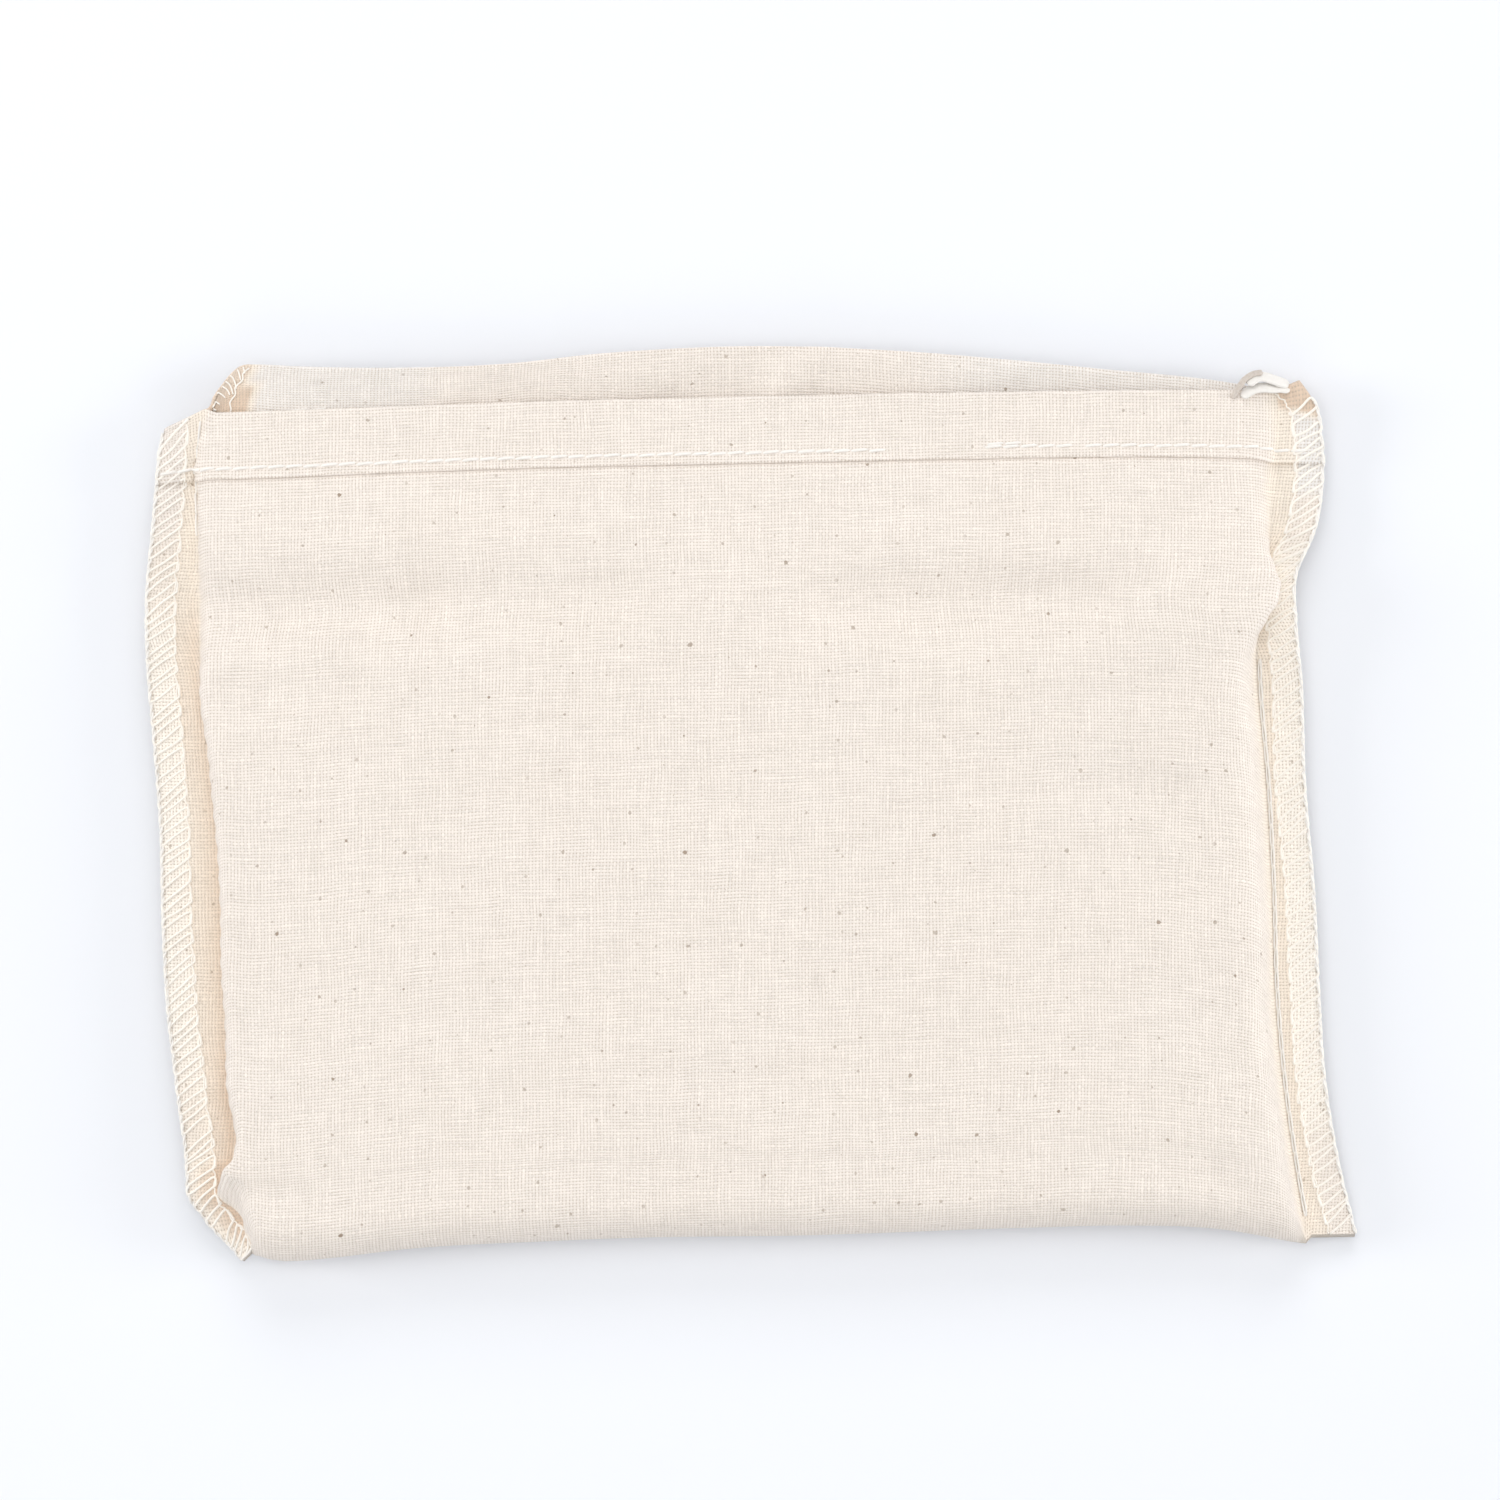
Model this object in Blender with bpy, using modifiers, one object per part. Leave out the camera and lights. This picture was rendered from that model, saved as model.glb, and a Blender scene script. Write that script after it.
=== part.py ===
"""A small cotton bag, turned inside out and lying on its back with its mouth towards +Y.

One length of cloth is folded across its middle, which makes the bag's rounded bottom. Both of its
ends are turned back as hems at the mouth. The two long sides are sewn up and their raw edges are
bound together in thread, as two soft strips that stand out from the body. The body is puffed up,
flat on top and rounded at its sides, and lies flat on its back panel.

Tables and sizes are in millimetres and the finished meshes in metres, +X right, +Z up, with the
origin under the middle of the bag.
"""

import math
from bisect import bisect
from collections import namedtuple

import bmesh
import bpy
import numpy as np

MM = 0.001

# The cloth and its layers
CLOTH = 1.0  # thickness of the cloth
GAP = 0.3  # between two layers
EDGE_GAP = 0.4  # between the cloth and a bound edge
LAYER = CLOTH + GAP  # from the middle of one layer to the middle of the next
HEM = 10.6  # how far each hem reaches back from the mouth

# The body
TOP_Z = 12.6  # middle of the front cloth over the filled part
CROWN = 0.5  # how much higher the middle is than the sides
MOUTH_Z = 9.6  # middle of the front cloth at the mouth
FALL_FROM_Y = 24.0  # the top starts to fall to the mouth here
MOUTH_Y = 68.0
HALF_WIDTH = 88.0
FLOOR_Z = CLOTH / 2  # middle of the back cloth where it lies on the floor
HEM_RAMP = 6.0  # length over which the back cloth climbs on to its own hem
LIP = HEM  # length over which the back cloth rises off the floor at the mouth
FOLD_OPEN = 0.4  # how much further apart the two layers are at each end of the bottom fold
SWELL = 2.4  # power of the side's curve: steep at the seam, level on top
FOOT = 1 / 3  # share of the side's width over which its rows swing round to meet the seam

# The bound edges
BOUND = 4.4  # width of each bound edge
BOUND_T = 2 * CLOTH + GAP  # its thickness, and two layers more where the hems are
STITCH = 3.4  # pitch of the thread's loops along it
SCALLOP = 0.4  # how far the loops draw the edge in and let it out
SQUARE = 3.0  # power of its section's outline, between an oval and a box
END_CUT = 1.2  # how much narrower it is at each of its ends
SAME_POINT = 0.01  # points of a ring this close are one
SHARP_ANGLE = math.radians(60)

# How finely each stretch is stepped
FLAT_STEPS = 1
SIDE_STEPS = 6
PANEL_STEPS = 18
HEM_TURN_STEPS = 5
BOTTOM_TURN_STEPS = 8
RING_STEPS = 8
SEAM_STEP = 0.5  # how far to each side a seam's direction is measured

LEFT, RIGHT = -1, 1
FRONT, BACK = 1, -1

# A side seam from the bottom to the mouth: its place, the reach of the bound edge from it in plan,
# the angle by which that points down the bag, its rise, and the width of the body's sloping side.
Seam = namedtuple("Seam", "y x z out swing rise slope")
SEAMS = {
    LEFT: (
        Seam(-73.4, -81.0, 3.9, 4.4, 36, -2.3, 8.5),
        Seam(-70.0, -83.0, 4.4, 4.8, 32, -2.3, 8.0),
        Seam(-66.0, -84.8, 4.7, 5.6, 24, -1.8, 7.2),
        Seam(-60.5, -86.6, 4.8, 7.0, 10, -0.8, 6.5),
        Seam(-47.0, -86.1, 4.6, 9.0, 0, 0.4, 6.5),
        Seam(-32.0, -87.0, 4.5, 9.7, 0, 0.8, 6.5),
        Seam(-18.0, -87.3, 4.5, 10.1, 0, 0.8, 6.5),
        Seam(-5.5, -88.0, 4.5, 9.7, 0, 0.5, 6.5),
        Seam(7.5, -89.6, 4.6, 9.0, 0, 0.3, 6.5),
        Seam(20.0, -91.2, 4.7, 8.5, 0, 0.5, 6.5),
        Seam(34.0, -91.7, 4.8, 8.3, 0, 0.8, 6.5),
        Seam(46.6, -91.6, 5.2, 7.3, 2, 0.8, 6.5),
        Seam(57.5, -91.3, 6.0, 6.8, 10, 0.4, 6.5),
        Seam(64.5, -90.4, 6.4, 7.4, 26, -0.4, 7.5),
    ),
    RIGHT: (
        Seam(-71.2, 91.0, 3.4, 8.2, 0, -0.6, 9.0),
        Seam(-61.0, 89.2, 4.0, 7.4, 0, 0.4, 10.0),
        Seam(-45.8, 87.0, 4.4, 6.9, 0, 1.2, 10.0),
        Seam(-31.0, 85.7, 4.5, 7.2, 0, 1.4, 10.0),
        Seam(-14.0, 85.2, 4.5, 6.8, 0, 1.8, 10.0),
        Seam(3.5, 84.3, 4.5, 6.2, 0, 2.4, 10.0),
        Seam(20.0, 82.9, 4.6, 7.0, 0, 2.2, 9.0),
        Seam(30.0, 82.7, 4.7, 6.3, 0, 2.4, 8.5),
        Seam(37.5, 83.3, 4.8, 5.7, 0, 2.2, 8.0),
        Seam(45.0, 85.0, 4.8, 7.1, 0, 1.2, 7.5),
        Seam(53.0, 85.3, 4.8, 8.2, 0, -0.4, 7.0),
        Seam(61.0, 85.9, 5.2, 7.3, 0, -0.4, 7.0),
        Seam(67.6, 85.8, 5.4, 6.8, -6, 0.4, 7.5),
    ),
}

# The bottom and the two mouth edges, seen from above.
Edge = namedtuple("Edge", "x y")
BOTTOM_EDGE = (
    Edge(-81.0, -74.4),
    Edge(-79.0, -75.1),
    Edge(-76.0, -75.2),
    Edge(-69.6, -74.7),
    Edge(-56.5, -73.2),
    Edge(-36.0, -72.0),
    Edge(9.0, -70.9),
    Edge(45.0, -69.8),
    Edge(61.0, -69.3),
    Edge(76.0, -69.9),
    Edge(91.0, -72.6),
)
FRONT_EDGE = (
    Edge(-90.4, 63.7),
    Edge(-74.5, 64.2),
    Edge(-41.7, 65.4),
    Edge(-8.9, 66.2),
    Edge(23.9, 66.9),
    Edge(56.7, 67.4),
    Edge(85.8, 67.6),
)
BACK_EDGE = (
    Edge(-90.4, 64.8),
    Edge(-87.4, 68.8),
    Edge(-84.6, 71.2),
    Edge(-82.0, 71.6),
    Edge(-76.0, 71.5),
    Edge(-58.0, 71.3),
    Edge(-41.7, 71.9),
    Edge(-25.0, 73.7),
    Edge(3.0, 74.9),
    Edge(24.0, 74.1),
    Edge(56.6, 71.2),
    Edge(79.0, 68.8),
    Edge(85.8, 67.6),
)

# How far the back cloth's mouth edge stands above the floor: it rises to meet both seams.
Lift = namedtuple("Lift", "x height")
LIP_LIFT = (
    Lift(-90.4, 5.0),
    Lift(-82.0, 6.6),
    Lift(-62.0, 6.6),
    Lift(-42.0, 4.6),
    Lift(-20.0, 1.6),
    Lift(0.0, 0.0),
    Lift(28.0, 0.6),
    Lift(56.0, 3.4),
    Lift(76.0, 5.0),
    Lift(85.8, 4.6),
)

# Soft troughs in the front: from one end to the other, half width and depth.
Crease = namedtuple("Crease", "x0 y0 x1 y1 half_width depth")
CREASES = (
    Crease(-86.0, 35.5, -52.0, 37.5, 3.4, 0.9),
    Crease(-52.0, 37.5, -18.0, 37.0, 3.4, 0.5),
    Crease(17.0, 38.0, 53.0, 38.5, 3.6, 0.5),
    Crease(69.0, -8.0, 79.0, 6.0, 3.4, 0.7),
    Crease(70.0, 26.0, 73.0, 17.0, 4.0, 0.5),
    Crease(-84.0, -58.0, -74.0, -63.0, 3.0, 0.8),
    Crease(74.0, -60.0, 84.0, -66.0, 3.0, 0.6),
)

# How far up the bag each stretch of rows ends, as a share of the way from bottom to mouth.
Rows = namedtuple("Rows", "end steps")
FRONT_ROWS = (Rows(0.05, 2), Rows(0.71, 12), Rows(0.83, 6), Rows(0.922, 3), Rows(1.0, 2))
BACK_ROWS = (Rows(0.05, 2), Rows(0.71, 9), Rows(0.88, 4), Rows(0.927, 3), Rows(1.0, 3))

Finish = namedtuple("Finish", "name colour roughness")
COTTON = Finish("unbleached_cotton", (0.87, 0.80, 0.70, 1.0), 0.95)
THREAD = Finish("sewing_thread", (0.90, 0.87, 0.80, 1.0), 0.8)


def clear_scene():
    for item in list(bpy.data.objects):
        bpy.data.objects.remove(item, do_unlink=True)


def blend(first, last, share):
    return first + (last - first) * share


def ease(share):
    """0 to 1, level at both ends."""
    share = min(max(share, 0.0), 1.0)
    return share * share * (3.0 - 2.0 * share)


def unit(vector):
    return vector / np.linalg.norm(vector, axis=-1, keepdims=True)


def read_table(rows, place):
    """A table's row at any place in its first column, on a smooth curve through its own rows."""
    places = [row[0] for row in rows]
    place = min(max(place, places[0]), places[-1])
    values = np.array(rows, dtype=float)
    slopes = np.gradient(values, places, axis=0)
    i = min(bisect(places, place), len(rows) - 1) - 1
    span = places[i + 1] - places[i]
    s = (place - places[i]) / span
    near = (2 * s**3 - 3 * s**2 + 1) * values[i] + (s**3 - 2 * s**2 + s) * span * slopes[i]
    far = (3 * s**2 - 2 * s**3) * values[i + 1] + (s**3 - s**2) * span * slopes[i + 1]
    return type(rows[0])(*(near + far))


Frame = namedtuple("Frame", "point out above along width slope")


def seam_frame(side, up_share):
    """A side seam's point, the way out along its allowance, that allowance's upper side, the way
    along the seam, the allowance's width, and the width of the body's slope beside it."""
    rows = SEAMS[side]
    y = blend(rows[0].y, rows[-1].y, up_share)
    row = read_table(rows, y)
    swing = math.radians(row.swing)
    reach = np.array([side * row.out * math.cos(swing), -row.out * math.sin(swing), row.rise])
    behind, ahead = (read_table(rows, y + step) for step in (-SEAM_STEP, SEAM_STEP))
    along = unit(np.array([ahead.x - behind.x, ahead.y - behind.y, ahead.z - behind.z]))
    out = unit(reach)
    above = unit(np.cross(out, along) * side)
    point = np.array([row.x, row.y, row.z])
    return Frame(point, out, above, along, np.linalg.norm(reach), row.slope)


def trough(crease, x, y):
    """How deep one crease is at a point: deepest along its line, fading to both sides."""
    start = np.array([crease.x0, crease.y0])
    line = np.array([crease.x1, crease.y1]) - start
    share = np.clip(np.dot(np.array([x, y]) - start, line) / np.dot(line, line), 0.0, 1.0)
    away = np.linalg.norm(np.array([x, y]) - start - line * share)
    return crease.depth * math.exp(-((away / crease.half_width) ** 2))


def top_height(x, y):
    """Height of the front cloth on top of the body."""
    crown = CROWN * (1.0 - (x / HALF_WIDTH) ** 2)
    fall = (TOP_Z - MOUTH_Z) * ease((y - FALL_FROM_Y) / (MOUTH_Y - FALL_FROM_Y))
    return TOP_Z + crown - fall - sum(trough(crease, x, y) for crease in CREASES)


def body_columns(up_share):
    """The x of each column of the body, with how far up the side's curve it stands, 0 at a seam."""
    left, right = seam_frame(LEFT, up_share), seam_frame(RIGHT, up_share)
    left_x, right_x = left.point[0], right.point[0]
    left_top, right_top = left_x + left.slope, right_x - right.slope
    sides = np.linspace(0.0, 1.0, SIDE_STEPS + 1)
    columns = [(blend(left_x, left_top, t), t) for t in sides[:-1]]
    columns += [(blend(left_top, right_top, t), 1.0) for t in np.linspace(0, 1, PANEL_STEPS + 1)]
    columns += [(blend(right_x, right_top, t), t) for t in sides[-2::-1]]
    return columns


def back_height(up_share, length, mouth_x):
    """Height of the back cloth, which lies on the floor, climbs on to its own hem, and rises
    towards the seams at its lip."""
    to_mouth = (1.0 - up_share) * length
    lift = max(read_table(LIP_LIFT, mouth_x).height, 0.0) * max(1.0 - to_mouth / LIP, 0.0) ** 2
    return FLOOR_Z + LAYER * ease((HEM + HEM_RAMP - to_mouth) / HEM_RAMP) + lift


def section(face, up_share):
    """The points of one layer across the bag, from the left allowance to the right one."""
    frames = {side: seam_frame(side, up_share) for side in (LEFT, RIGHT)}
    flats = {}
    feet = {}
    apart = LAYER / 2 + FOLD_OPEN * ease(1.0 - up_share / FRONT_ROWS[0].end)
    for side, seam in frames.items():
        feet[side] = seam.point + seam.above * face * apart
        flat = seam.out * (seam.width - BOUND - EDGE_GAP)
        flats[side] = [feet[side] + flat * t for t in np.linspace(1, 0, FLAT_STEPS + 1)[:-1]]
    mouth_edge = FRONT_EDGE if face == FRONT else BACK_EDGE
    bottom, mouth = body_columns(0.0), body_columns(1.0)
    body = []
    for number, (x, climb) in enumerate(body_columns(up_share)):
        side = LEFT if number <= SIDE_STEPS + PANEL_STEPS // 2 else RIGHT
        low = read_table(BOTTOM_EDGE, bottom[number][0]).y
        high = read_table(mouth_edge, mouth[number][0]).y
        swell = 1.0 - (1.0 - climb) ** SWELL
        start = low + bottom_radius(bottom[number][0], low, swell)
        y = blend(start, high, up_share)
        y = blend(feet[side][1], y, ease(climb / FOOT))
        if face == FRONT:
            top = top_height(x, y)
        else:
            top = back_height(up_share, high - low, mouth[number][0])
        body.append(np.array([x, y, blend(feet[side][2], top, swell)]))
        body[-1][0] += (feet[side][0] - frames[side].point[0]) * (1 - climb)
    return np.array(flats[LEFT] + body + flats[RIGHT][::-1])


def bottom_radius(x, low, swell):
    """Radius of the rounded bottom under one column."""
    full = (top_height(x, low + TOP_Z / 2) - FLOOR_Z) / 2
    return blend(LAYER / 2 + FOLD_OPEN, full, swell)


def mitred_normals(rows):
    """For each point of a grid of rows, the offset that moves its surface out by one unit."""
    along = np.gradient(rows, axis=0)
    across = np.diff(rows, axis=1)
    faces = unit(np.cross(across, (along[:, :-1] + along[:, 1:]) / 2))
    before = np.concatenate([faces[:, :1], faces], axis=1)
    after = np.concatenate([faces, faces[:, -1:]], axis=1)
    middle = unit(before + after)
    return middle / np.sum(middle * after, axis=-1, keepdims=True)


def turned(first, last, way, reach, steps):
    """The rows of a rounded turn from one row to another, bulging the given way."""
    middle, arm = (first + last) / 2, (first - last) / 2
    angles = np.linspace(0.0, math.pi, steps + 1)[1:-1]
    return [middle + arm * math.cos(a) + way * reach * math.sin(a) for a in angles]


def shares_of(stretches):
    """Every row's share of the way up the bag, from the bottom to the mouth."""
    shares = [0.0]
    for stretch in stretches:
        shares += list(np.linspace(shares[-1], stretch.end, stretch.steps + 1)[1:])
    return shares


def hemmed(layer, outward, steps):
    """A layer's rows from the bottom to the mouth, then round into its hem on the outside."""
    offset = mitred_normals(layer) * outward * LAYER
    hem = (layer + offset)[-1 - steps :][::-1]
    way = unit(np.cross(offset[-1], np.gradient(layer[-1], axis=0))) * outward
    for raw_edge in (0, -1):
        way[raw_edge] = unit(layer[-1] - layer[-2])[raw_edge]
    return list(layer) + turned(layer[-1], hem[0], way, LAYER / 2, HEM_TURN_STEPS) + list(hem)


def cloth_rows():
    """The middle of the whole cloth: front hem, front, bottom, back and back hem."""
    front = np.array([section(FRONT, share) for share in shares_of(FRONT_ROWS)])
    back = np.array([section(BACK, share) for share in shares_of(BACK_ROWS)])
    across = front[0] - back[0]
    radius = np.linalg.norm(across, axis=-1, keepdims=True) / 2
    seam_way = unit((front[0] - front[1]) + (back[0] - back[1]))
    body_way = np.array([0.0, -1.0, 0.0])
    way = blend(seam_way, body_way, np.minimum(radius / radius.max() * 2, 1.0))
    way = unit(way - across * np.sum(way * across, axis=-1, keepdims=True) / (2 * radius) ** 2)
    bottom = turned(front[0], back[0], way, radius, BOTTOM_TURN_STEPS)
    front_side = hemmed(front, 1, FRONT_ROWS[-1].steps)
    back_side = hemmed(back, -1, BACK_ROWS[-1].steps)
    return np.array(front_side[::-1] + bottom + back_side)


def grid_mesh(name, points):
    """A grid whose rows and columns are moved to the given points."""
    rows, columns = points.shape[:2]
    mesh_data = bpy.data.meshes.new(name)
    shape = bmesh.new()
    bmesh.ops.create_grid(shape, x_segments=columns - 1, y_segments=rows - 1, size=1.0)
    for vertex, point in zip(shape.verts, points.reshape(-1, 3)):
        vertex.co = point * MM
    shape.to_mesh(mesh_data)
    shape.free()
    return mesh_data


def fabric(finish):
    material = bpy.data.materials.new(finish.name)
    material.use_nodes = True
    shader = material.node_tree.nodes["Principled BSDF"]
    shader.inputs["Base Color"].default_value = finish.colour
    shader.inputs["Roughness"].default_value = finish.roughness
    shader.inputs["Metallic"].default_value = 0.0
    return material


def make_cloth(collection, material):
    """The bag itself, one cloth with a thickness."""
    cloth = bpy.data.objects.new("bag_cloth", grid_mesh("bag_cloth", cloth_rows()))
    collection.objects.link(cloth)
    cloth.data.materials.append(material)
    thickness = cloth.modifiers.new("thickness", "SOLIDIFY")
    thickness.thickness = CLOTH * MM
    thickness.offset = 0.0
    thickness.use_even_offset = True
    thickness.use_quality_normals = True
    cloth.data.shade_smooth()
    return cloth


def bound_edge_rows(side):
    """Rings of the bound edge from the bottom to the mouth, drawn in between the loops."""
    rows = SEAMS[side]
    overhang = LAYER / 2 + CLOTH / 2
    length = rows[-1].y - rows[0].y
    count = 2 * round(length / STITCH)
    angles = np.linspace(0.0, 2 * math.pi, RING_STEPS + 1)
    rings = []
    for number in range(count + 1):
        share = number / count
        seam = seam_frame(side, share)
        past_end = overhang * ((number == count) - (number == 0))
        doubled = ease((share - FRONT_ROWS[-2].end) * length / LAYER + 1.0)
        at_end = number in (0, count)
        drawn_in = END_CUT if at_end else SCALLOP * (number % 2)
        half_width = (BOUND - drawn_in) / 2
        half_thickness = BOUND_T / 2 + LAYER * doubled
        middle = seam.point + seam.out * (seam.width - BOUND + half_width) + seam.along * past_end
        ring = []
        for angle in angles:
            a, b = math.cos(angle), math.sin(angle)
            size = (abs(a) ** SQUARE + abs(b) ** SQUARE) ** (-1 / SQUARE)
            outward, upward = half_width * a * size, half_thickness * b * size
            ring.append(middle + seam.out * outward + seam.above * upward)
        rings.append(ring)
    return np.array(rings)


def make_bound_edge(name, side, collection, material):
    """One side's raw edges bound together in thread, as one long soft strip."""
    mesh_data = grid_mesh(name, bound_edge_rows(side))
    shape = bmesh.new()
    shape.from_mesh(mesh_data)
    bmesh.ops.remove_doubles(shape, verts=shape.verts, dist=SAME_POINT * MM)
    bmesh.ops.holes_fill(shape, edges=shape.edges, sides=RING_STEPS)
    bmesh.ops.recalc_face_normals(shape, faces=shape.faces)
    shape.to_mesh(mesh_data)
    shape.free()
    strip = bpy.data.objects.new(name, mesh_data)
    collection.objects.link(strip)
    mesh_data.materials.append(material)
    mesh_data.shade_smooth()
    mesh_data.set_sharp_from_angle(angle=SHARP_ANGLE)
    return strip


def stand_on_origin(objects):
    """Moves the meshes so that the bag's box stands on the origin."""
    depsgraph = bpy.context.evaluated_depsgraph_get()
    corners = []
    for item in objects:
        finished = item.evaluated_get(depsgraph).data
        corners += [vertex.co.copy() for vertex in finished.vertices]
    low = np.min(corners, axis=0)
    high = np.max(corners, axis=0)
    shift = np.array([(low[0] + high[0]) / 2, (low[1] + high[1]) / 2, low[2]])
    for item in objects:
        for vertex in item.data.vertices:
            vertex.co = np.array(vertex.co) - shift


def main():
    clear_scene()
    collection = bpy.data.collections.new("cotton_bag")
    bpy.context.scene.collection.children.link(collection)
    cotton = fabric(COTTON)
    thread = fabric(THREAD)
    pieces = [
        make_cloth(collection, cotton),
        make_bound_edge("bound_edge_left", LEFT, collection, thread),
        make_bound_edge("bound_edge_right", RIGHT, collection, thread),
    ]
    stand_on_origin(pieces)


main()
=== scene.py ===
"""A small unbleached cotton bag, turned inside out and lying on its back: its cloth and its sewing.

Tables and sizes inside the modelling functions are in millimetres. The settings and the finished
meshes are in metres. +X is the right seam, +Y the mouth, +Z up, and the floor is at zero.
"""

import math
from collections import namedtuple

import bmesh
import bpy
import numpy as np
from bpy.props import FloatProperty, FloatVectorProperty, IntProperty, PointerProperty
from bpy.types import Operator, Panel, PropertyGroup
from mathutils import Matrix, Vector, noise


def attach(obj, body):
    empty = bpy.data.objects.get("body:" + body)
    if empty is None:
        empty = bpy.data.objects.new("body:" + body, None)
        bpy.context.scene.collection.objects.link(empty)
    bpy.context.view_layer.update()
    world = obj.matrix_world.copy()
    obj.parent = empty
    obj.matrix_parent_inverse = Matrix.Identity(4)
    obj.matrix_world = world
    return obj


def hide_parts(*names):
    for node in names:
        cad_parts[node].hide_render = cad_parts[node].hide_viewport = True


bl_info = {
    "name": "Cotton Bag",
    "version": (1, 0, 0),
    "blender": (4, 5, 0),
    "location": "3D View > Sidebar > Cotton Bag",
    "description": "Models a small inside-out cotton bag with its hems, seams and sewing thread",
    "category": "Add Mesh",
}

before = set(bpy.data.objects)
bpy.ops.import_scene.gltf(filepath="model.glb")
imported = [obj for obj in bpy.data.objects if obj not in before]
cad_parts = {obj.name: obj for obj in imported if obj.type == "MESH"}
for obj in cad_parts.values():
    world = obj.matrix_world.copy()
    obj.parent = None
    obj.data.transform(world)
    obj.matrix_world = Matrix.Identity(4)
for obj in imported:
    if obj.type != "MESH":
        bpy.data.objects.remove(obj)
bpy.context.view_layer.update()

MM = 0.001
TABLE_ORIGIN = np.array([-0.85, -0.22, 0.0])  # the model's origin, as the tables below place it

LEFT, RIGHT = -1, 1
FRONT, BACK = 1, -1

# ---- The bag's own sizes, in millimetres ----

TOP_Z = 12.6  # the body's flat top
CROWN = 0.5  # the crown on it
MOUTH_Z = 8.6  # the height that it falls to at the mouth
FALL_FROM_Y = 24.0
MOUTH_Y = 68.0
HALF_WIDTH = 88.0

SWELL = {LEFT: 3.2, RIGHT: 4.0}  # how full each side of the body swells
FILLET = 0.05  # how softly it leaves its foot
FOOT = 1 / 3  # the share of its climb over which the cloth leaves its seam's rows
CORNER_SHARE = 0.06  # the share of the bag's length over which it comes to follow them

SEAM_STEP = 0.5  # how far to both sides a seam's direction is measured
SEAM_STITCH = 3.4  # the length of a seam's stitches

FOLD_OPEN = 0.3  # how far the bottom fold stands open at the seams
FOLD_SHARE = 0.05  # the share of the bag's length over which it closes

HEM_SINK = 0.5  # how far the front sinks under its hem
HEM_SINK_START = 0.5  # how far before the hem's free edge that starts
HEM_SINK_RAMP = 1.3  # the length that it takes
HEM_RAMP = 6.0  # the length over which the back climbs on to its hem
HEM_PILLOW = 0.12  # how far a hem puffs up between its fold and its stitching
HEM_RIM = 0.05  # and how far before its free edge

LIP_END = 26.0  # where the back lip's rise starts, down from the mouth
LIP_LEVEL = 10.0  # where it is complete
LIP_CREASE_LIMIT = 0.4  # the deepest that a crease in the lip may be
LIP_ROLL = 0.34  # how much of the lip is rolled in at the left
LIP_ROLL_DEPTH = 30.0  # how far down from the mouth that reaches
LIP_ROLL_END_X = -15.0  # where it ends across the bag
LIP_ROLL_RAMP = 25.0  # over what width

OVERLOCK_BAND = 4.6  # the width of the cloth that the overlock covers
OVERLOCK_FADE = 0.8  # over what distance its cover fades

CLOSE_PUCKER = 0.17  # how far the cloth puckers between a seam's stitches
PUCKER_AT = 0.22  # where on the climb it does so most
PUCKER_SPREAD = 0.2  # over what share of the climb
WIDE_PUCKER = 0.30  # how far its wider puckers stand out

# Soft lumps: how far places across the bag count, which below one makes lumps lie long that way,
# how wide they are, a seed of their own, and how high they are.
Lumps = namedtuple("Lumps", "across size seed height")
SLACK = (Lumps(0.6, 16.0, 3.1, 0.28), Lumps(0.5, 6.0, 8.7, 0.07))
SLACK_RAMP = 14.0  # over what distance the slack ends at the sides and the mouth
RIPPLE = (Lumps(1.0, 9.0, 21.0, 0.45), Lumps(1.0, 3.4, 33.0, 0.12))

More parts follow.
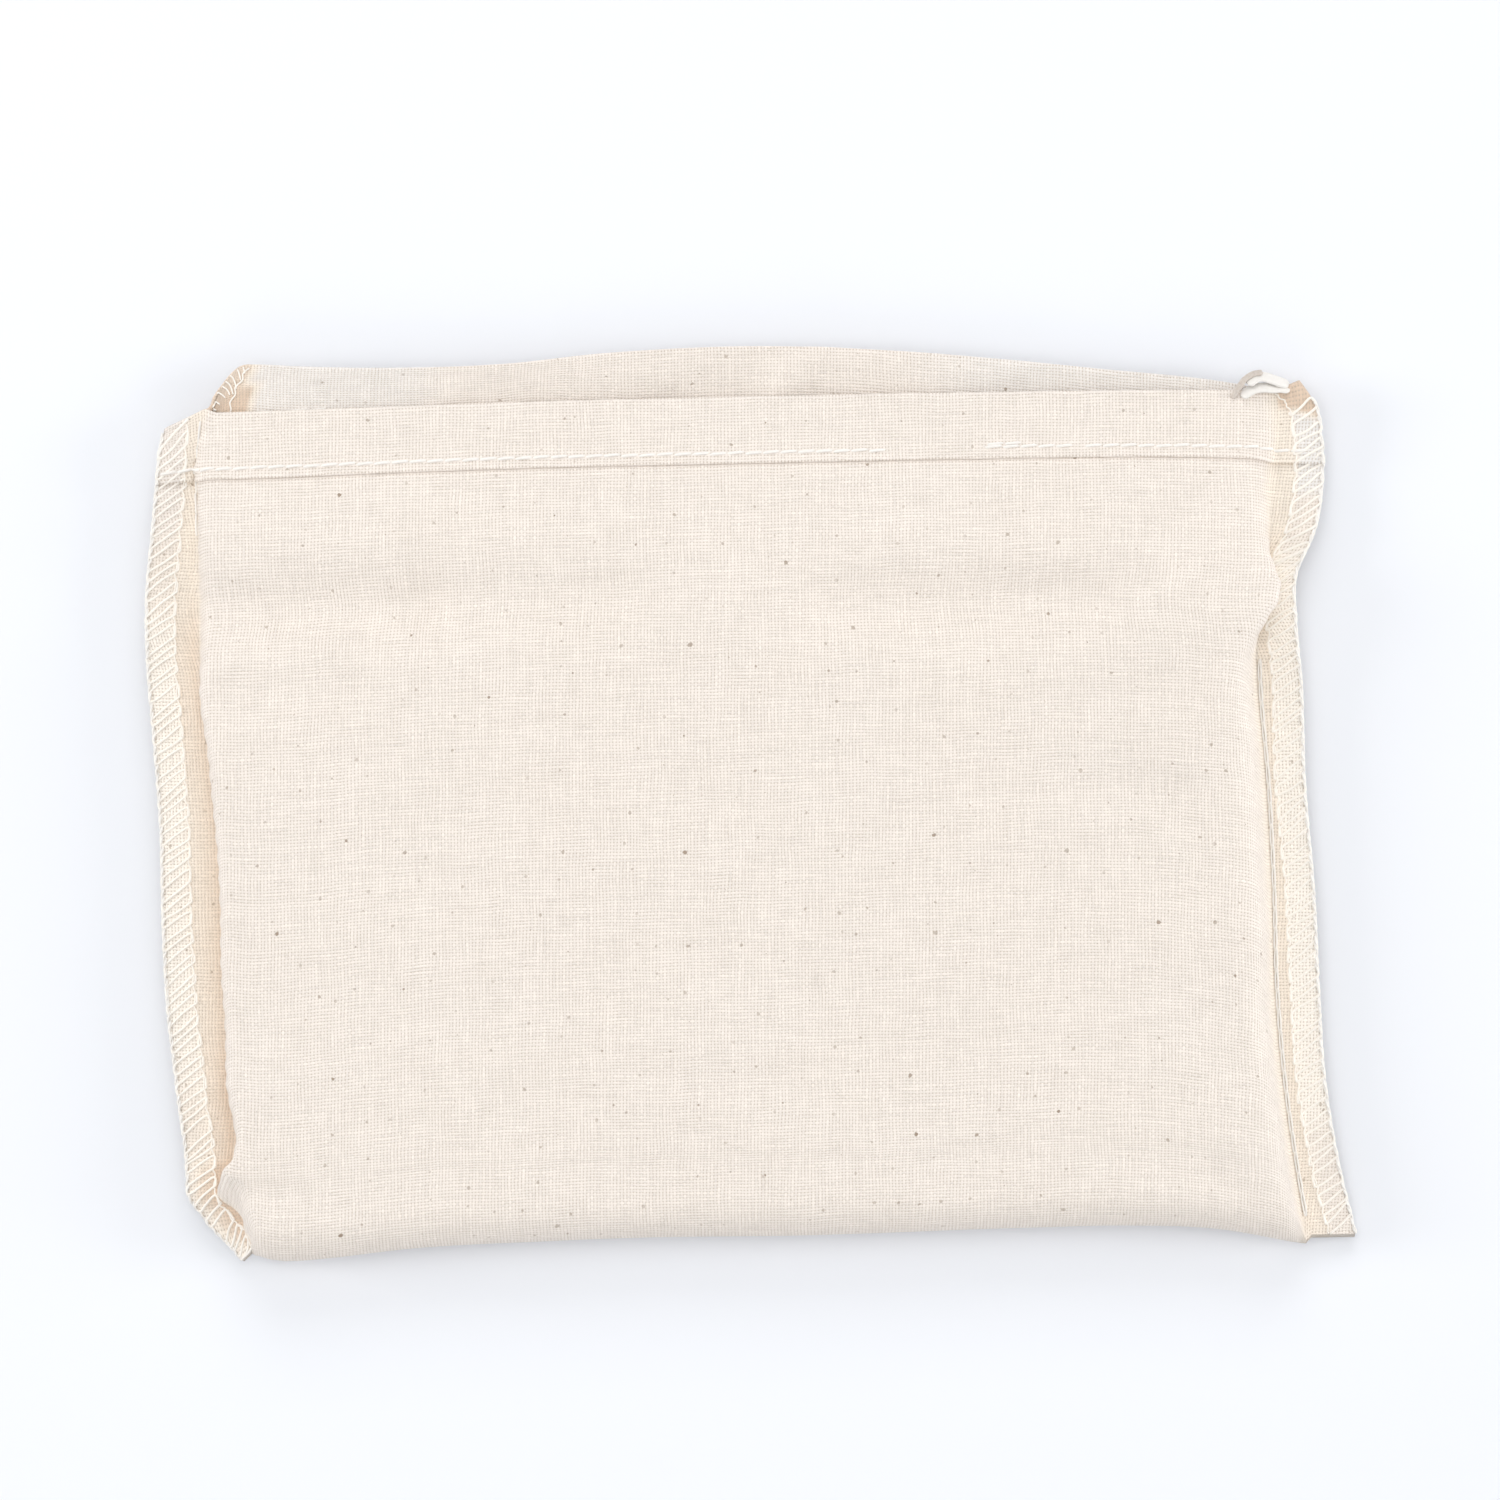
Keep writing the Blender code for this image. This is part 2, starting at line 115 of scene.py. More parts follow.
# A side seam from the bottom to the mouth: its place, the reach of its allowance in plan, the
# angle by which that points down the bag, its rise, and the width of the body's sloping side.
Seam = namedtuple("Seam", "y x z out swing rise slope")
SEAMS = {
    LEFT: (
        Seam(-73.4, -82.6, 3.9, 2.6, 44, -1.5, 3.2),
        Seam(-70.5, -83.6, 4.4, 3.9, 30, -1.8, 3.0),
        Seam(-68.6, -83.9, 4.6, 6.0, 12, -1.8, 2.8),
        Seam(-66.8, -85.2, 4.7, 6.2, 8, -1.4, 2.8),
        Seam(-64.8, -88.2, 4.8, 5.0, 4, -0.8, 2.8),
        Seam(-62.7, -86.8, 4.8, 6.6, 2, -0.4, 3.0),
        Seam(-60.0, -85.9, 4.8, 7.6, 0, -0.2, 3.0),
        Seam(-47.0, -86.1, 4.6, 9.0, 0, 0.4, 2.8),
        Seam(-32.0, -87.0, 4.5, 9.7, 0, 0.8, 2.8),
        Seam(-18.0, -87.3, 4.5, 10.1, 0, 0.8, 2.8),
        Seam(-5.5, -88.0, 4.5, 9.7, 0, 0.5, 2.8),
        Seam(7.5, -89.6, 4.6, 9.0, 0, 0.3, 2.8),
        Seam(20.0, -91.2, 4.7, 8.5, 0, 0.5, 3.2),
        Seam(34.0, -91.7, 4.8, 8.3, 0, 0.8, 4.2),
        Seam(46.6, -91.6, 5.2, 7.3, 2, 0.8, 4.8),
        Seam(57.5, -91.3, 6.0, 6.8, 10, 0.4, 5.8),
        Seam(64.5, -90.4, 6.4, 7.4, 26, -0.4, 7.6),
    ),
    RIGHT: (
        Seam(-71.2, 91.0, 3.4, 8.2, 0, -1.2, 9.0),
        Seam(-61.0, 89.2, 4.0, 7.4, 0, -0.5, 9.0),
        Seam(-45.8, 87.0, 4.4, 6.9, 0, -0.2, 9.0),
        Seam(-31.0, 85.7, 4.5, 7.2, 0, 0.0, 9.0),
        Seam(-14.0, 85.2, 4.5, 6.8, 0, 0.2, 9.0),
        Seam(3.5, 84.3, 4.5, 6.2, 0, 0.5, 9.0),
        Seam(20.0, 82.9, 4.6, 7.0, 0, 0.6, 9.0),
        Seam(30.0, 82.7, 4.7, 6.3, 0, 0.8, 6.0),
        Seam(37.5, 83.3, 4.8, 5.7, 0, 0.8, 5.4),
        Seam(45.0, 85.0, 4.8, 7.1, 0, 0.4, 6.4),
        Seam(53.0, 85.3, 4.8, 8.2, 0, -0.4, 9.0),
        Seam(61.0, 85.9, 5.2, 7.3, 0, -0.4, 12.0),
        Seam(65.0, 85.9, 5.3, 6.5, -6, 0.0, 12.5),
        Seam(67.6, 85.8, 5.4, 4.4, -22, 0.8, 12.5),
    ),
}

# The bottom and the two mouth edges, seen from above.
Edge = namedtuple("Edge", "x y")
BOTTOM_EDGE = (
    Edge(-81.0, -74.4),
    Edge(-79.0, -75.1),
    Edge(-76.0, -75.2),
    Edge(-69.6, -74.7),
    Edge(-56.5, -73.2),
    Edge(-36.0, -72.0),
    Edge(9.0, -70.9),
    Edge(45.0, -69.8),
    Edge(61.0, -69.3),
    Edge(76.0, -69.9),
    Edge(91.0, -72.6),
)
FRONT_EDGE = (
    Edge(-90.4, 63.7),
    Edge(-74.5, 64.2),
    Edge(-41.7, 65.4),
    Edge(-8.9, 66.2),
    Edge(23.9, 66.9),
    Edge(56.7, 67.4),
    Edge(85.8, 67.6),
)
BACK_EDGE = (
    Edge(-90.4, 65.2),
    Edge(-87.4, 68.8),
    Edge(-84.6, 71.6),
    Edge(-82.0, 71.8),
    Edge(-76.0, 71.5),
    Edge(-58.0, 71.3),
    Edge(-41.7, 71.9),
    Edge(-25.0, 73.7),
    Edge(3.0, 74.9),
    Edge(24.0, 74.1),
    Edge(56.6, 71.2),
    Edge(79.0, 68.8),
    Edge(85.8, 67.6),
)

# How far the back cloth's mouth edge stands above the floor.
Lift = namedtuple("Lift", "x height")
LIP_LIFT = (
    Lift(-90.4, 4.8),
    Lift(-84.0, 6.2),
    Lift(-62.0, 6.4),
    Lift(-42.0, 6.0),
    Lift(-20.0, 5.6),
    Lift(0.0, 5.4),
    Lift(28.0, 5.4),
    Lift(56.0, 5.6),
    Lift(76.0, 5.6),
    Lift(85.8, 4.8),
)

# Soft troughs, and ridges where the depth is negative: from one end to the other.
Crease = namedtuple("Crease", "x0 y0 x1 y1 half_width depth")
CREASES = (
    Crease(-90.0, 31.5, -56.0, 32.0, 5.8, 3.2),
    Crease(-50.0, 32.5, -22.0, 34.0, 5.8, 2.1),
    Crease(-90.0, 42.0, -40.0, 42.5, 4.0, -0.25),
    Crease(14.0, 32.5, 56.0, 33.5, 5.8, 2.6),
    Crease(14.0, 42.0, 50.0, 42.0, 4.6, -0.25),
    Crease(-88.0, 17.5, -66.0, 19.0, 3.8, 0.6),
    Crease(84.0, 35.0, 71.0, 7.0, 3.4, -1.5),
    Crease(38.0, 3.0, 70.0, 2.0, 4.0, 0.5),
    Crease(49.0, 17.5, 71.0, 18.0, 4.0, 0.5),
    Crease(-84.0, -62.0, -76.0, -64.0, 2.4, 0.4),
    Crease(74.0, -60.0, 84.0, -66.0, 3.0, 0.6),
    Crease(88.0, 46.0, 88.0, 66.0, 10.0, 1.6),
)
BACK_CREASES = (
    Crease(-14.0, 66.0, 1.0, 73.0, 3.0, 0.5),
    Crease(3.0, 66.0, 11.0, 76.0, 2.6, -0.9),
    Crease(30.0, 68.0, 44.0, 72.0, 3.0, -0.4),
    Crease(-52.0, 66.0, -44.0, 72.0, 3.0, -0.3),
)

# Where the body bulges over a side seam: how far up the bag, how far out and how long.
Bulge = namedtuple("Bulge", "side y out length")
BULGES = (
    Bulge(LEFT, 52.0, 1.0, 12.0),
    Bulge(LEFT, 16.0, 0.7, 6.0),
    Bulge(LEFT, -2.0, 1.1, 14.0),
    Bulge(LEFT, -26.0, 1.1, 14.0),
    Bulge(LEFT, -46.0, 1.2, 8.0),
    Bulge(LEFT, -68.0, 1.0, 5.0),
    Bulge(RIGHT, 60.0, 0.8, 4.0),
    Bulge(RIGHT, 35.0, 5.0, 6.5),
    Bulge(RIGHT, 12.0, 0.4, 5.0),
    Bulge(RIGHT, -22.0, 0.5, 6.0),
)

# A value's change along a raw edge: by how much, from where up the bag, and over how long, which
# is negative where the change lies below that place.
Ramp = namedtuple("Ramp", "change start over")

# Painted warm shade on the allowances along both raw edges, standing for light bounced between their
# layers and for the groove's shadow.
GROOVE_SHADE = {  # how deep it is in the groove beside the seam
    LEFT: (Ramp(0.50, 38.0, -12.0), Ramp(0.40, -35.0, -15.0)),
    RIGHT: (Ramp(0.12, 25.0, -20.0),),
}
GROOVE_START = 3.5  # columns from the raw edge in to the groove
GROOVE_STEPS = 5.0  # columns over which the groove's colour grows
LEFT_CORNER_SHADE = Ramp(0.8, -58.0, -4.0)  # what the bottom's left corner adds to it
LEFT_CORNER_END = Ramp(1.0, -74.0, 2.5)  # where all of it starts at the left
OVERLOCK_SHADE_BASE = {LEFT: 0.45, RIGHT: 0.15}  # how deep it is among the overlock's threads
# Below nothing, the right's value paints cool shade among the overlock's legs near the mouth.
OVERLOCK_SHADE = {
    LEFT: (Ramp(0.25, -40.0, -20.0), Ramp(-0.55, 38.0, 12.0)),
    RIGHT: (Ramp(-1.05, 49.5, 3.0),),
}

# The cloth under the overlock, made paler: partly the white thread's own cover, partly painted light on
# the shaded allowances.
WHITE_SHARE = {LEFT: 0.7, RIGHT: 0.8}
WHITE_TOP = {LEFT: 34.0, RIGHT: 46.0}  # where that ends up the bag
WHITE_TOP_RAMP = 8.0
WHITE_LOW = -56.0  # where it starts
WHITE_LOW_RAMP = 12.0
WHITE_LOW_SHIFT = 0.3  # the share of that ramp by which the sides differ

# The shaded back lip. Each pair is a place and the distance over which the shade changes there.
LIP_SHADE = 0.55
LIP_SHADE_UP = (62.0, 2.0)  # where it starts up the bag
LIP_SHADE_LEFT = (-48.0, 12.0)  # where it ends at the left
LIP_SHADE_RIGHT = (22.0, 20.0)  # where it starts again at the right

# Painted shade in the deep shade colour, in the curled corner at the mouth's left and the sewn corner
# at its right.
POCKET_END = (-81.7, 1.3)
POCKET_UP = (63.0, 1.0)
POCKET_SHADE = 2.1
POCKET_SHADE_FALL = 0.5  # how much less it is above a slanting line
POCKET_SHADE_RAMP = 5.0
CORNER_START = (85.8, 0.8)
CORNER_SHADE = 2.0
CORNER_SHADE_RAMP = 1.6

OVERLOCK_BARE = {LEFT: 1.6, RIGHT: 5.0}  # how far short of the mouth the overlock's legs end
OVERLOCK_SLANT = {LEFT: 3.2, RIGHT: 2.8}  # how far each leg leans along the edge
CORD_PAST_LEGS = 1.6  # how much further the cord on the raw edge goes
LEG_THICK = 1.35  # how thick the legs lie, in sewing threads
CORD_THICK = 1.15
LOOSE_THICK = 0.8
SWAY = 0.16  # how far the loose needle thread sways
# CHAINED is the tail's darker finish, which paints shade on it.
NEEDLE, LOOPER, CHAINED = 0, 1, 2  # which finish a thread has

WRAP_START = 0.25  # how far in from the raw edge the looper's thread leaves the cloth
WRAP_OUT = -0.2  # its way round that edge, where below nothing is outside it
WRAP_DOWN = -0.05
CORD_OUT = -0.10  # the same for the middle of the cord
CORD_DOWN = -0.10
CORD_CHANCE = 0.04  # how far chance moves the cord's threads

POCKET_LEGS = 8  # the overlock's legs across the back's left corner
POCKET_REACH = 6.0  # how many columns each of them crosses
POCKET_FALL = 0.85  # how far it falls from the mouth for each column

THREAD_SIDES = 6  # every thread is a round tube of so many sides

# The overlock's chained thread, left long at the right end of the mouth: the tail's own course
# and the two loops beside it.
TAIL = (
    (78.7, 66.9, 8.2),
    (79.5, 68.3, 8.4),
    (80.5, 69.6, 8.0),
    (81.7, 70.5, 7.4),
    (83.2, 70.9, 7.0),
)
TAIL_TURNS = 12
TAIL_KNOTS = (
    (
        (80.6, 67.3, 7.9),
        (82.0, 68.1, 7.7),
        (83.6, 68.4, 7.4),
        (85.2, 68.3, 7.1),
        (86.4, 68.4, 6.8),
        (87.4, 68.3, 6.5),
    ),
    (
        (81.6, 69.4, 7.7),
        (82.8, 70.2, 7.2),
        (84.2, 70.1, 7.0),
        (85.4, 69.7, 6.9),
        (86.3, 69.4, 6.7),
        (87.2, 69.1, 6.4),
    ),
)

CHAIN_END_Y = 24.0  # above this the front's chain stitch runs under the cloth
CHAIN_SHORT = 1.0  # how far short of the mouth the back's ends
NEEDLE_START_Y = 44.0  # below this the front's straight stitches run under the cloth
NEEDLE_SHORT = 2.0  # how far from the bottom the back's start
SEAM_INSIDE_OVERLOCK = 0.45  # how far out from the seam its stitches lie
NEEDLE_THICK = 1.2  # how thick its straight stitches lie, in sewing threads
SEAM_SEED = 10  # what sets the seams' chances apart from the overlock's
HEM_SEED = 20  # and what sets the hems' apart

# One loop of the chain stitch, from its hole to its far end and back on the other side: the share
# of the stitch's length, the distance to one side, and the height in radii of the thread.
Loop = namedtuple("Loop", "share aside rise")
HALF_LOOP = (
    Loop(0.02, 0.05, -0.2),
    Loop(0.2, 0.2, 0.6),
    Loop(0.5, 0.27, 1.0),
    Loop(0.85, 0.24, 1.2),
    Loop(1.08, 0.18, 1.9),
    Loop(1.16, 0.0, 2.4),
)
CHAIN_LOOP = (*HALF_LOOP, *(each._replace(aside=-each.aside) for each in HALF_LOOP[-2::-1]))

# A straight stitch.
STITCH_SINK = 0.3  # how deep its ends dive
STITCH_LEAN = 0.07  # how far it leans by chance
STITCH_SLANT = (0.1, 0.08, 0.05, 0.0, -0.05, -0.08, -0.1)  # its way to one side along its length
SEAM_STITCH_GAP = 0.05  # the share of it that each end spends in the cloth
HEM_STITCH_GAP = 0.2

# The hems' sewing: from where to where along the hem, how far to one side, and how thick.
Run = namedtuple("Run", "first last aside thick")
FRONT_RUNS = (
    Run(-98.0, 23.4, 0.0, 1.0),
    Run(23.6, 25.6, 0.2, 1.6),
    Run(37.8, 54.0, 0.25, 1.0),
    Run(38.2, 46.5, 0.75, 0.9),
    Run(54.2, 99.0, 0.15, 1.0),
)
BACK_RUNS = (
    Run(-76.0, -38.0, 0.0, 0.6),
    Run(-34.0, 99.0, 0.0, 0.4),
)

# The weave's look, in shares of a thread's pitch or height where nothing else is said.
WANDER_SCALE = 90.0  # waves to a metre in which the threads wander
WANDER = 1.6  # how many threads they wander by
THREAD_STEP = 7.31  # how far one thread's slubs lie from its neighbour's in their noise
SET_STEP = 5.3  # how far the weft's lie from the warp's
SLUB_SCALE = 160.0  # slubs to a metre of thread
THREAD_WIDTH = 0.72  # a thread's least width
SLUB = 0.4  # how much wider its slubs are
THREAD_HEIGHT = 0.58
CRIMP = 0.42  # how far crossing threads rise and dive
PATCH = 0.85  # how far patches lift one set over the other
PATCH_SCALE = 300.0
PATCH_MIDDLE = 0.49
GAP_HEIGHT = 0.55  # the height below which a gap shows

SHADE = 0.35  # how much paler a thread is at its thickest
SHADE_BASE = 0.873  # its shade at its thinnest
GAP_DEPTH = 0.93  # how dark the gaps are
FAINT_FLECKS = 0.58  # how dark the two kinds of flecks are
DARK_FLECKS = 0.88
FLECK_EDGE = 5.0  # how crisp a fleck's edge is
FUZZ = 0.35  # how far the cloth's fine fuzz stands up

# Each lamp's place, the width and height of its face, and its power, in metres and watts.
Lamp = namedtuple("Lamp", "name x y z width height power")
LAMPS = (
    Lamp("overhead_light", -0.15, 0.15, 1.30, 0.8, 0.8, 4.0),
    Lamp("back_light", 0.00, 1.50, 1.05, 1.2, 0.8, 8.4),
    Lamp("front_light", 0.00, -1.50, 1.05, 1.2, 0.8, 2.8),
    Lamp("left_light", -1.30, 0.10, 0.60, 0.5, 0.5, 6.3),
    Lamp("right_light", 1.30, 0.00, 0.55, 0.6, 0.5, 4.8),
    Lamp("low_right_light", 1.20, 0.00, 0.09, 0.9, 0.12, 3.0),
)
LAMP_COLOUR = (1.0, 0.99, 0.98)

# In metres.
CAMERA_X = 0.0001
CAMERA_Y = 0.0090
VIEW_HEIGHT = 0.010  # the height at which the view's width is measured
FLOOR_REACH = 2.0  # how far the floor reaches to every side


# ---- Small tools ----


def blend(first, last, share):
    """A value the given share of the way from one to the other."""
    return first + (last - first) * share


def ease(share):
    """0 to 1, level at both ends."""
    share = np.clip(share, 0.0, 1.0)
    return share * share * (3.0 - 2.0 * share)


def rising(value, start, over):
    """0 up to a start, easing to 1 over a distance beyond it."""
    return ease((value - start) / over)


def falling(value, end, over):
    """1 until a distance before an end, easing to 0 there."""
    return ease((end - value) / over)


def unit(vector):
    """Vectors at unit length."""
    return vector / np.linalg.norm(vector, axis=-1, keepdims=True)


def read_table(rows, places):
    """A table's columns at any places in its first one, on a smooth curve through its own rows."""
    values = np.array(rows, dtype=float)
    knots = values[:, 0]
    slopes = np.gradient(values, knots, axis=0)
    places = np.clip(np.asarray(places, dtype=float), knots[0], knots[-1])
    i = np.clip(np.searchsorted(knots, places, side="right") - 1, 0, len(rows) - 2)
    span = (knots[i + 1] - knots[i])[..., None]
    s = (places[..., None] - knots[i][..., None]) / span
    near = (2 * s**3 - 3 * s**2 + 1) * values[i] + (s**3 - 2 * s**2 + s) * span * slopes[i]
    far = (3 * s**2 - 2 * s**3) * values[i + 1] + (s**3 - s**2) * span * slopes[i + 1]
    return type(rows[0])(*np.moveaxis(near + far, -1, 0))


def rough(points, size, seed):
    """Smooth noise between -1 and 1 at each point, with lumps about so many millimetres wide."""
    flat = np.asarray(points, dtype=float).reshape(-1, 3) / size
    found = [noise.noise(Vector((x + seed, y - seed, z))) for x, y, z in flat]
    return np.array(found).reshape(np.shape(points)[:-1])


# ---- The cloth's surface ----

Steps = namedtuple("Steps", "end steps")
FRONT_ROWS = (Steps(0.05, 9), Steps(0.70, 104), Steps(0.905, 34), Steps(0.922, 6), Steps(1.0, 14))
BACK_ROWS = (Steps(0.05, 9), Steps(0.85, 90), Steps(0.94, 10), Steps(0.955, 5), Steps(1.0, 10))
ALLOWANCE_STEPS = 9
SIDE_STEPS = 13
PANEL_STEPS = 76
HEM_TURN_STEPS = 6
BOTTOM_TURN_STEPS = 14

Frame = namedtuple("Frame", "point out above width slope")


def seam_frame(side, shares):
    """A side seam's points, the way out along its allowance, that allowance's upper side and its
    width, and the width of the body's slope beside it."""
    rows = SEAMS[side]
    y = blend(rows[0].y, rows[-1].y, np.asarray(shares, dtype=float))
    row = read_table(rows, y)
    swing = np.radians(row.swing)
    reach = [side * row.out * np.cos(swing), -row.out * np.sin(swing), row.rise]
    reach = np.stack(reach, axis=-1)
    behind, ahead = (read_table(rows, y + step) for step in (-SEAM_STEP, SEAM_STEP))
    step = [ahead.x - behind.x, ahead.y - behind.y, ahead.z - behind.z]
    along = unit(np.stack(step, axis=-1))
    out = unit(reach)
    above = unit(np.cross(out, along) * side)
    point = np.stack([row.x, row.y, row.z], axis=-1)
    return Frame(point, out, above, np.linalg.norm(reach, axis=-1), row.slope)


def trough(crease, x, y):
    """How deep one crease is at each point: deepest along its line, fading to both sides."""
    line_x, line_y = crease.x1 - crease.x0, crease.y1 - crease.y0
    share = ((x - crease.x0) * line_x + (y - crease.y0) * line_y) / (line_x**2 + line_y**2)
    share = np.clip(share, 0.0, 1.0)
    away = np.hypot(x - crease.x0 - line_x * share, y - crease.y0 - line_y * share)
    return crease.depth * np.exp(-((away / crease.half_width) ** 2))


def top_height(x, y):
    """Height of the front cloth on top of the body."""
    crown = CROWN * (1.0 - (x / HALF_WIDTH) ** 2)
    fall = (TOP_Z - MOUTH_Z) * rising(y, FALL_FROM_Y, MOUTH_Y - FALL_FROM_Y)
    return TOP_Z + crown - fall - sum(trough(crease, x, y) for crease in CREASES)


def body_columns():
    """Each column's shares of the four lines that carry the body, which are the left seam, the
    left and right ends of its flat top and the right seam, and how far up the side it stands."""
    sides = np.linspace(0.0, 1.0, SIDE_STEPS + 1)
    panel = np.linspace(0.0, 1.0, PANEL_STEPS + 1)
    columns = [(1 - t, t, 0, 0, t) for t in sides[:-1]]
    columns += [(0, 1 - t, t, 0, 1) for t in panel]
    columns += [(0, 0, t, 1 - t, t) for t in sides[-2::-1]]
    columns = np.array(columns)
    return columns[:, :4], columns[:, 4]


def carrying_lines(shares):
    """The four lines that carry the body, as places across the bag at each share of its length."""
    left, right = seam_frame(LEFT, shares), seam_frame(RIGHT, shares)
    left_x, right_x = left.point[..., 0], right.point[..., 0]
    return np.stack([left_x, left_x + left.slope, right_x - right.slope, right_x], axis=-1)


def uneven(points, kinds):
    """Soft unevenness at each point, from a few kinds of lumps together."""
    height = 0.0
    for each in kinds:
        height += each.height * rough(points * (each.across, 1.0, 1.0), each.size, each.seed)
    return height


def slack(x, y):
    """The front cloth's soft unevenness, which ends at its sides and its mouth."""
    points = np.stack([x, y, np.zeros_like(x)], axis=-1)
    from_sides = falling(np.abs(x), HALF_WIDTH, SLACK_RAMP)
    return uneven(points, SLACK) * np.minimum(from_sides, falling(y, MOUTH_Y, SLACK_RAMP))


def bulge(y, side):
    """How far the body bulges out over a side seam."""
    reach = 0.0
    for each in BULGES:
        reach += (side == each.side) * each.out * np.exp(-(((y - each.y) / each.length) ** 2))
    return reach


def pucker(y, climb, side, face):
    """How far the cloth swells between a side seam's stitches, fading up the body's side."""
    phase = y / SEAM_STITCH + 0.35 * side * face
    lines = np.stack([phase * 0.31, side * 9.0 + 0.0 * y, climb + 0.0 * y], axis=-1)
    drift = rough(lines, 1.0, 5.0)
    near_seam = np.exp(-(((climb - PUCKER_AT) / PUCKER_SPREAD) ** 2))
    close = CLOSE_PUCKER * np.cos(2 * np.pi * phase + drift) * near_seam
    wide = WIDE_PUCKER * rough(lines * (1.0, 1.0, 0.3), 1.0, 12.0) * np.sin(np.pi * climb) ** 2
    return (close + wide) * np.sin(np.pi * np.clip(climb, 0.0, 1.0)) ** 0.5


def ripple(layer, share):
    """How far the allowances wave up and down, most at their raw edges."""
    places = layer[..., :3] * (0.0, 1.0, 0.0) + np.sign(layer[..., :1]) * (40.0, 0.0, 0.0)
    return uneven(places, RIPPLE) * share**1.5


def swelling(climb, fullness):
    """How much of its full height the cloth has reached, by its share of the way up the side."""
    soft_climb = climb**2 * (1.0 + FILLET) / (climb + FILLET)
    return 1.0 - (1.0 - soft_climb) ** fullness


def allowance(seam, foot):
    """One layer of a seam's allowance, from its raw edge in to the foot of the body's side."""
    flat = seam.out * seam.width[:, None]
    outward = np.linspace(1, 0, ALLOWANCE_STEPS + 1)[:-1]
    return np.stack([foot + flat * share for share in outward], axis=1)


class Bag:
    """The surfaces of the bag's cloth, for one thickness of cloth and one hem."""

    def __init__(self, settings):
        self.cloth = settings.thickness / MM
        self.layer = self.cloth + settings.layer_gap / MM
        self.hem = {FRONT: settings.front_hem / MM, BACK: settings.back_hem / MM}
        self.tuck = settings.hem_tuck / MM
        margin = settings.stitch_margin / MM
        self.stitch_inset = {face: depth - margin for face, depth in self.hem.items()}
        self.floor = self.cloth / 2
        self.front = self.build_layer(FRONT, shares_of(FRONT_ROWS))
        self.back = self.build_layer(BACK, shares_of(BACK_ROWS))

    def build_layer(self, face, shares):
        """The middle of the front or the back cloth, a row for each share of the way up."""
        seams = {side: seam_frame(side, shares) for side in (LEFT, RIGHT)}
        apart = self.layer / 2 + FOLD_OPEN * falling(shares, FOLD_SHARE, FOLD_SHARE)
        feet = {side: seam.point + seam.above * (face * apart)[:, None] for side, seam in seams.items()}
        left, right = (allowance(seams[side], feet[side]) for side in (LEFT, RIGHT))
        body = self.body(face, shares, seams, feet)
        layer = np.concatenate([left, body, right[:, ::-1]], axis=1)
        columns = np.arange(layer.shape[1])
        from_edge = np.minimum(columns, columns[::-1]) / ALLOWANCE_STEPS
        layer[..., 2] += ripple(layer, np.maximum(1.0 - from_edge, 0.0))
        return layer

    def body(self, face, shares, seams, feet):
        """The front or the back of the body, standing on the feet of its two seams."""
        weights, climb = body_columns()
        left_half = np.arange(len(climb)) <= SIDE_STEPS + PANEL_STEPS // 2
        side = np.where(left_half, LEFT, RIGHT)
        foot = np.where(left_half[None, :, None], feet[LEFT][:, None], feet[RIGHT][:, None])
        seam_x = np.where(left_half, seams[LEFT].point[:, :1], seams[RIGHT].point[:, :1])
        swell = swelling(climb, np.where(left_half, SWELL[LEFT], SWELL[RIGHT]))
        bottom_x, mouth_x = (carrying_lines(share) @ weights.T for share in (0.0, 1.0))
        low = read_table(BOTTOM_EDGE, bottom_x).y
        high = read_table(FRONT_EDGE if face == FRONT else BACK_EDGE, mouth_x).y
        start = low + self.bottom_radius(bottom_x, low, swell)
        up = shares[:, None]
        x = carrying_lines(shares) @ weights.T
        y = blend(start, high, up)
        if face == BACK:
            y = self.rolled(y, high, mouth_x)
        free = np.maximum(ease(climb / FOOT), 1.0 - ease(up / CORNER_SHARE))
        y = blend(foot[..., 1], y, free)
        if face == FRONT:
            top = self.front_height(x, y, (1.0 - up) * (high - start))
        else:
            top = self.back_height(x, y, (1.0 - up) * (high - low), mouth_x)
        z = blend(foot[..., 2], top, swell)
        x = x + (foot[..., 0] - seam_x) * (1 - climb)
        x = x + side * pucker(y, climb, side, face)
        if face == FRONT:
            x = x + side * bulge(y, side) * np.sin(np.pi * climb**0.7)
        return np.stack([x, y, z], axis=-1)

    @staticmethod
    def rolled(y, high, mouth_x):
        """The back's mouth edge is rolled a little at its left, so less of its hem shows there."""
        to_mouth = high - y
        share = LIP_ROLL * falling(mouth_x, LIP_ROLL_END_X, LIP_ROLL_RAMP)
        share = share * (1.0 - ease(to_mouth / LIP_ROLL_DEPTH))
        return high - to_mouth * (1.0 - share)

    def bottom_radius(self, x, low, swell):
        """Radius of the rounded bottom under each column."""
        full = (top_height(x, low + TOP_Z / 2) - self.floor) / 2
        return blend(self.layer / 2 + FOLD_OPEN, full, swell)

    def front_height(self, x, y, to_mouth):
        """Height of the front cloth, which sinks a little under its hem."""
        hem = self.hem[FRONT] + HEM_SINK_START
        return top_height(x, y) + slack(x, y) - HEM_SINK * falling(to_mouth, hem, HEM_SINK_RAMP)

    def back_height(self, x, y, to_mouth, mouth_x):
        """Height of the back cloth, which lies on the floor, climbs on to its own hem, and rises
        towards the seams at its lip."""
        climb = 2 * self.layer * falling(to_mouth, self.hem[BACK] + HEM_RAMP, HEM_RAMP)
        lift = np.maximum(read_table(LIP_LIFT, mouth_x).height, 0.0)
        top = self.floor + climb + lift * falling(to_mouth, LIP_END, LIP_END - LIP_LEVEL)
        creased = top - sum(trough(crease, x, y) for crease in BACK_CREASES)
        return np.maximum(creased, top - LIP_CREASE_LIMIT)


def shares_of(stretches):
    """Every row's share of the way up the bag, from the bottom to the mouth."""
    shares = [0.0]
    for stretch in stretches:
        shares += list(np.linspace(shares[-1], stretch.end, stretch.steps + 1)[1:])
    return np.array(shares)


